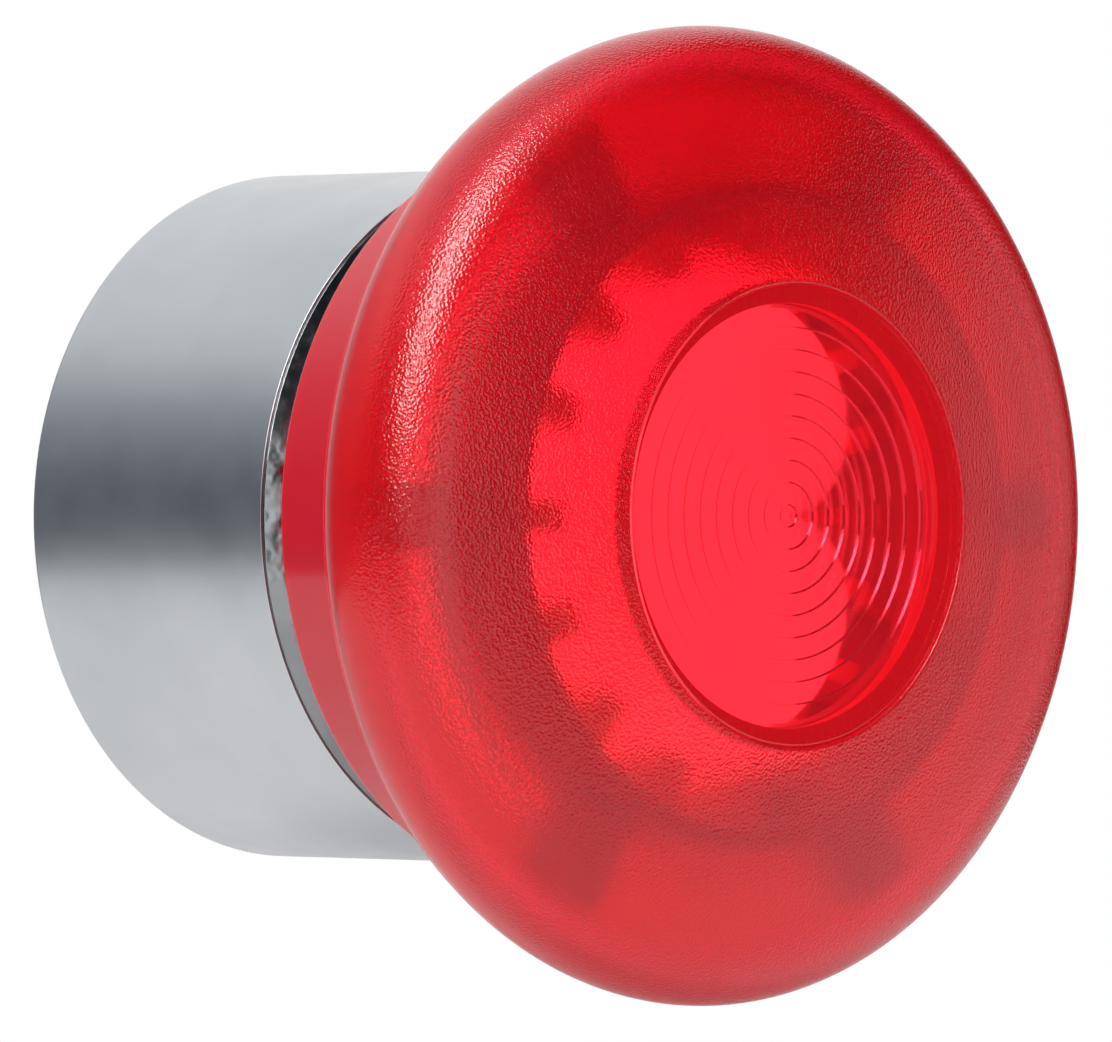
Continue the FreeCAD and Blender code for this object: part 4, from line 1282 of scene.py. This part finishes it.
@dataclass
class Skirt:
    """The glossy rear half of the head: a short tube that flares to the cap's edge, with a plate inside."""

    bore: float = 14.9
    tube: float = 15.56
    flare: float = 4.4
    flare_start: Point = (15.76, 19.3)
    flare_end: Point = (19.2, 23.44)
    flare_steps: int = 24
    lip: float = 19.45
    lip_rear: float = 23.6
    front: float = 23.89
    recess: float = 17.0
    recess_floor: float = 15.6
    plate_bore: float = 9.75
    plate_edge: float = 13.6
    plate_front: float = 21.25
    plate_root: float = 0.6
    inner_front: float = 22.25
    bore_edge: float = 0.12
    tube_edge: float = 0.2
    lip_edge: float = 0.05

    def build(self) -> None:
        """Makes the skirt."""
        shell = Reach.of("mushroom_skirt")
        start, end = self.flare_start, self.flare_end
        chord = math.dist(start, end)
        out = math.sqrt(self.flare ** 2 - (chord / 2) ** 2)
        across = ((end[1] - start[1]) / chord, -(end[0] - start[0]) / chord)
        centre = tuple((a + b) / 2 + way * out for a, b, way in zip(start, end, across))
        first, last = (
            math.degrees(math.atan2(place[1] - centre[1], place[0] - centre[0])) % FULL_TURN
            for place in (start, end)
        )
        fitted(turned("skirt_shell", [
            Corner(self.bore, shell.rear, self.bore_edge),
            Corner(self.tube, shell.rear, self.tube_edge),
            *arc(centre, self.flare, first, last, self.flare_steps),
            Corner(self.lip, self.lip_rear, self.bore_edge),
            Corner(self.lip, self.front, self.lip_edge),
            Corner(self.recess, self.front),
            Corner(self.recess_floor, self.inner_front),
            Corner(self.plate_bore, self.inner_front),
            Corner(self.plate_bore, self.plate_front),
            Corner(self.plate_edge, self.plate_front),
            Corner(self.bore, self.plate_front - self.plate_root, self.tube_edge),
        ]), SKIRT_RED, Body.HEAD, ["mushroom_skirt"])


@dataclass
class Carrier:
    """What shows through the cap: the ribbed ring, the opal diffuser behind it and the screws for both."""

    cup_radius: float = 9.9
    cup_wall: float = 0.7
    cup_root: float = 0.3
    cup_edge: float = 0.6
    flange_rear: float = 22.25
    flange_front: float = 22.85
    floor: float = 0.5
    floor_edge: float = 0.05
    ring_outer: float = 13.4
    ring_inner: float = 12.6
    ring_edge: float = 0.25
    overlap: float = 0.1
    ribs: int = 16
    rib_inner: float = 10.2
    rib_width: float = 1.3
    rib_front: float = 27.3
    rib_edge: float = 0.2
    webs: int = 6
    web_width: float = 2.65
    web_rear: float = 23.89
    web_front: float = 26.4
    web_edge: float = 0.3
    screws: int = 4
    screw_circle: float = 11.35
    boss_radius: float = 1.25
    boss_front: float = 24.75
    boss_edge: float = 0.15
    screw_head: float = 1.4
    screw_head_height: float = 0.8
    screw_head_edge: float = 0.2
    slot_reach: float = 1.1
    slot_width: float = 0.35
    slot_depth: float = 0.4
    slot_edge: float = 0.03
    shank: float = 0.8
    shank_sunk: float = 0.05
    shank_edge: float = 0.1
    ring: bpy.types.NodeTree = field(init=False, repr=False)

    def build(self) -> None:
        """Makes the diffuser, the carrier and the screws."""
        self.ring = ring_rule()
        self.diffuser()
        self.carrier()
        self.head_screws()

    @property
    def half_rib(self) -> float:
        """Half the angle from rib to rib, in radians."""
        return math.tau / self.ribs / 2

    def repeated(self, blank: bpy.types.Object, count: int, first: float, finish: Finish) -> bpy.types.Object:
        """The blank repeated round the button's axis.

        Args:
            blank: The piece to repeat.
            count: How often it stands there.
            first: Angle of the first one.
            finish: What it is made of.

        Returns:
            The pieces as one object.
        """
        return shaped_by(self.ring, blank, {
            "Count": count, "First angle": first, "Finish": finish.material(),
        })

    def diffuser(self) -> None:
        """The opal cup behind the lens."""
        cup = Reach.of("diffuser")
        bore = self.cup_radius - self.cup_wall
        fitted(turned("diffuser_cup", [
            Corner(bore, self.flange_rear),
            Corner(self.ring_outer, self.flange_rear),
            Corner(self.ring_outer, self.flange_front),
            Corner(self.cup_radius, self.flange_front, self.cup_root),
            Corner(self.cup_radius, cup.front, self.cup_edge),
            Corner(0.0, cup.front),
            Corner(0.0, cup.front - self.cup_wall),
            Corner(bore, cup.front - self.cup_wall, self.cup_root),
        ]), DIFFUSER_OPAL, Body.HEAD, ["diffuser"])

    def carrier(self) -> None:
        """The ring wall and the floor, with the radial ribs, the webs and the screw bosses."""
        carrier = Reach.of("rib_carrier")
        base = self.flange_front + self.floor
        sunk = base - self.overlap
        # The wall, webs and bosses wear the darker painted-shade copy of the red, the ribs the lighter
        # painted-half-light copy and the floor the glowing painted-light copy.
        wall = tube("carrier_wall", self.ring_outer, self.ring_inner, self.flange_front, carrier.front,
                    self.ring_edge)
        fitted(wall, CARRIER_RED_PAINTED_SHADE, Body.HEAD, ["rib_carrier"])
        floor = tube("carrier_floor", self.ring_inner + self.overlap, self.rib_inner, self.flange_front, base,
                     self.floor_edge)
        fitted(floor, CARRIER_FLOOR_PAINTED_LIGHT, Body.HEAD, ["rib_carrier"])
        rib = bar("carrier_ribs", self.rib_inner, self.ring_inner + self.overlap, self.rib_width, sunk,
                  self.rib_front, self.rib_edge)
        web = bar("carrier_webs", self.ring_outer - self.overlap, carrier.radius, self.web_width,
                  self.web_rear, self.web_front, self.web_edge)
        boss = rod("carrier_bosses", self.boss_radius, sunk, self.boss_front, self.screw_circle,
                   self.boss_edge)
        for blank, count, first, finish in (
            (rib, self.ribs, 0.0, RIB_RED_PAINTED_HALF_LIGHT),
            (web, self.webs, 0.0, CARRIER_RED_PAINTED_SHADE),
            (boss, self.screws, self.half_rib, CARRIER_RED_PAINTED_SHADE),
        ):
            part = self.repeated(blank, count, first, finish)
            fitted(part, finish, Body.HEAD, ["rib_carrier"])

    def head_screws(self) -> None:
        """The slotted screws, with their heads to the rear."""
        screw = Reach.of("cap_screws")
        head_front = screw.rear + self.screw_head_height
        head = rod("screw_head", self.screw_head, screw.rear, head_front, self.screw_circle,
                   self.screw_head_edge)
        slot = bar("screw_slot", self.screw_circle - self.slot_reach, self.screw_circle + self.slot_reach,
                   self.slot_width, screw.rear - self.slot_depth, screw.rear + self.slot_depth,
                   self.slot_edge)
        carved(head, [slot])
        shank = rod("screw_shank", self.shank, head_front - self.shank_sunk, screw.front, self.screw_circle,
                    self.shank_edge)
        blank = joined("head_screws", [head, shank])
        screws = self.repeated(blank, self.screws, self.half_rib, SCREW_ZINC)
        fitted(screws, SCREW_ZINC, Body.HEAD, ["cap_screws"])


@dataclass
class Plunger:
    """The sliding tube that carries the head, its clip and what it pushes."""

    return_coil: float = 7.6
    return_wire: float = 0.4
    return_pitch: float = 2.3

    def build(self) -> None:
        """Dresses the plunger and winds its return spring."""
        redressed("plunger", PLUNGER_ACETAL)
        redressed("stop_clip", SPRING_WIRE)
        redressed("contact_pusher", BUSH_ACETAL)
        spring = wound("return_coil", "return_spring", self.return_coil, self.return_wire, self.return_pitch)
        fitted(spring, SPRING_WIRE, Body.HOUSING, ["return_spring"])
        reach = Reach.of("return_spring")
        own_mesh(spring)


@dataclass
class Latch:
    """The ring that turns as the head goes in, with its pins and its spring."""

    coil: float = 11.55
    wire: float = 0.3
    pitch: float = 0.95

    def build(self) -> None:
        """Dresses the ring and its pins and winds the spring."""
        redressed("latch_ring", LATCH_ACETAL)
        redressed("follower_pins", SCREW_ZINC)
        spring = wound("latch_coil", "latch_spring", self.coil, self.wire, self.pitch)
        fitted(spring, SPRING_WIRE, Body.HOUSING, ["latch_spring"])


@dataclass
class Lamp:
    """The lamp that lights the head from inside, its holder and its contacts."""

    def build(self) -> None:
        """Dresses the lamp, its holder and its contacts."""
        redressed("lamp_holder", HOLDER_THERMOSET)
        redressed("lamp_terminals", CONTACT_BRASS)
        redressed("centre_contact", CONTACT_BRASS)
        redressed("lamp_base", LAMP_NICKEL)
        redressed("lamp_dome", LAMP_EPOXY)


# ------------------------------------------------------------------------------------------ studio


@dataclass(frozen=True)
class Softbox:
    """A rectangular light that faces the button.

    The three parts of "way" say how far it hangs to the camera's right, upwards and towards the camera. Its
    sides and its distance are in metres.
    """

    name: str
    way: tuple[float, float, float]
    sides: tuple[float, float]
    radiance: float
    distance: float = 0.9

    def hang(self, out: Vector) -> None:
        """Adds the light to the scene.

        Args:
            out: The direction from the button to the light.
        """
        data = bpy.data.lights.new(self.name, "AREA")
        data.shape = "RECTANGLE"
        data.size, data.size_y = self.sides
        data.energy = self.radiance * math.pi * self.sides[0] * self.sides[1]
        box = bpy.data.objects.new(self.name, data)
        box.location = out * self.distance
        box.rotation_euler = (-out).to_track_quat("-Z", "Y").to_euler()
        bpy.context.scene.collection.objects.link(box)


SOFTBOXES = (
    Softbox("key_softbox", (-0.2, 0.72, 0.66), (0.22, 1.0), 12.0),
    Softbox("front_softbox", (0.55, -0.05, 0.83), (0.6, 0.8), 1.1),
    Softbox("near_strip", (-0.02, -0.11, 0.99), (0.15, 0.82), 1.4),
    Softbox("side_softbox", (0.9, 0.0, -0.43), (0.5, 0.5), 0.6),
    Softbox("low_reflector", (0.05, -0.7, 0.7), (0.12, 0.5), 1.0),
)
# the room's colour from straight down, 0, to straight up, 1
ROOM_BANDS = (
    (0.0, "#8C8F8E"), (0.16, "#C8CCC6"), (0.33, "#7C828A"), (0.47, "#4E545E"), (0.56, "#5A606A"),
    (0.70, "#9AA0A8"), (0.80, "#F2F4F8"), (0.90, "#E4E7EC"), (1.0, "#B4B8BE"),
)
WHITE = "#FFFFFF"
FLOOR_PAPER = Moulded("studio_paper", "#F4F4F4", 0.8, flow="#F1F1F1")  # matt paper: an even, pale floor


@dataclass
class Studio:
    """A pale floor, soft light and the camera. Its places and its floor are in metres, the camera's in mm."""

    camera_place: tuple[float, float, float] = (-0.34028, -0.37761, -0.00021)
    camera_aim: tuple[float, float, float] = (0.6858, 0.7278, 0.0)
    focal_length: float = 388.5
    sensor: float = 36.0
    clip_start: float = 0.01
    floor_radius: float = 0.15
    floor_height: float = -0.032
    right_wall: str = "#1C1E22"
    near_wall: str = "#3A3C40"

    def build(self) -> None:
        """Sets the whole studio."""
        self.camera()
        self.sky()
        self.floor()
        for box in SOFTBOXES:
            box.hang(self.direction(*box.way))
        bpy.context.scene.view_settings.view_transform = "Standard"

    def axes(self) -> tuple[Vector, Vector]:
        """The camera's view direction and the direction to its right.

        Returns:
            Both, with a length of 1.
        """
        ahead = Vector(self.camera_aim).normalized()
        return ahead, ahead.cross(Vector((0, 0, 1)))

    def direction(self, right: float, up: float, toward: float) -> Vector:
        """A direction in the room.

        Args:
            right: Its part to the camera's right.
            up: Its part upwards.
            toward: Its part towards the camera.

        Returns:
            The direction, with a length of 1.
        """
        ahead, side = self.axes()
        return (side * right + Vector((0, 0, 1)) * up - ahead * toward).normalized()

    def camera(self) -> None:
        """The camera, level and to the left of the button's axis."""
        data = bpy.data.cameras.new("camera")
        data.sensor_width = self.sensor
        data.lens = self.focal_length
        data.clip_start = self.clip_start
        camera = bpy.data.objects.new("camera", data)
        camera.location = self.camera_place
        camera.rotation_euler = Vector(self.camera_aim).to_track_quat("-Z", "Y").to_euler()
        bpy.context.scene.collection.objects.link(camera)
        bpy.context.scene.camera = camera

    def sky(self) -> None:
        """The room round the button: bright above, dark at eye level, and white where the camera looks."""
        world = bpy.data.worlds.new("studio")
        world.use_nodes = True
        tree = world.node_tree
        tree.nodes.clear()
        place = add_node(tree, "ShaderNodeTexCoord")
        parts = add_node(tree, "ShaderNodeSeparateXYZ", inputs={0: place.outputs["Generated"]})
        height = add_node(tree, "ShaderNodeMapRange", inputs={
            "Value": parts.outputs["Z"], "From Min": -1.0, "From Max": 1.0,
        })
        bands = add_node(tree, "ShaderNodeValToRGB", inputs={"Fac": height.outputs[0]})
        ramp = bands.color_ramp
        for number, (position, colour) in enumerate(ROOM_BANDS):
            stop = ramp.elements[number] if number < 2 else ramp.elements.new(position)
            stop.position = position
            stop.color = linear(colour)
        ahead, side = self.axes()
        room = bands.outputs[0]
        # each wall fades in between the two cosines of the angle to its direction
        for way, start, end, colour in (
            (ahead, 0.55, 0.95, WHITE),
            (side, 0.10, 0.40, self.right_wall),
            (-ahead, 0.05, 0.45, self.near_wall),
        ):
            along = add_node(tree, "ShaderNodeVectorMath", {"operation": "DOT_PRODUCT"}, {
                0: place.outputs["Generated"], 1: tuple(way),
            })
            share = add_node(tree, "ShaderNodeMapRange", {"interpolation_type": "SMOOTHSTEP"}, {
                "Value": along.outputs["Value"], "From Min": start, "From Max": end,
            })
            room = self.mixed(tree, share.outputs[0], room, colour)
        path = add_node(tree, "ShaderNodeLightPath")
        seen = self.mixed(tree, path.outputs["Is Camera Ray"], room, WHITE)
        light = add_node(tree, "ShaderNodeBackground", inputs={"Color": seen})
        add_node(tree, "ShaderNodeOutputWorld", inputs={"Surface": light.outputs[0]})
        bpy.context.scene.world = world

    def mixed(self, tree: bpy.types.NodeTree, share: bpy.types.NodeSocket, under: bpy.types.NodeSocket,
              colour: str) -> bpy.types.NodeSocket:
        """Lays a colour over another.

        Args:
            tree: The world's tree.
            share: How much of the colour there is, from 0 to 1.
            under: The colour under it.
            colour: The colour as #RRGGBB.

        Returns:
            The mixed colour.
        """
        node = add_node(tree, "ShaderNodeMix", {"data_type": "RGBA"}, {
            "Factor": share, COLOUR_A: under, COLOUR_B: linear(colour),
        })
        return node.outputs[COLOUR_RESULT]

    def floor(self) -> None:
        """A round pale floor under the button."""
        mesh = bmesh.new()
        bmesh.ops.create_circle(mesh, cap_ends=True, segments=ROUND, radius=self.floor_radius)
        for corner in mesh.verts:
            corner.co.z = self.floor_height
        floor = placed("studio_floor", mesh)
        floor.data.materials.append(FLOOR_PAPER.material())


def main() -> None:
    """Builds the button and its studio."""
    logging.basicConfig(level=logging.INFO, format="%(message)s", stream=sys.stdout)
    for part in (Collar(), Housing(), Cap(), Skirt(), Carrier(), Plunger(), Latch(), Lamp(), Studio()):
        part.build()
        log.info("%s built", type(part).__name__)


if __name__ == "__main__":
    main()
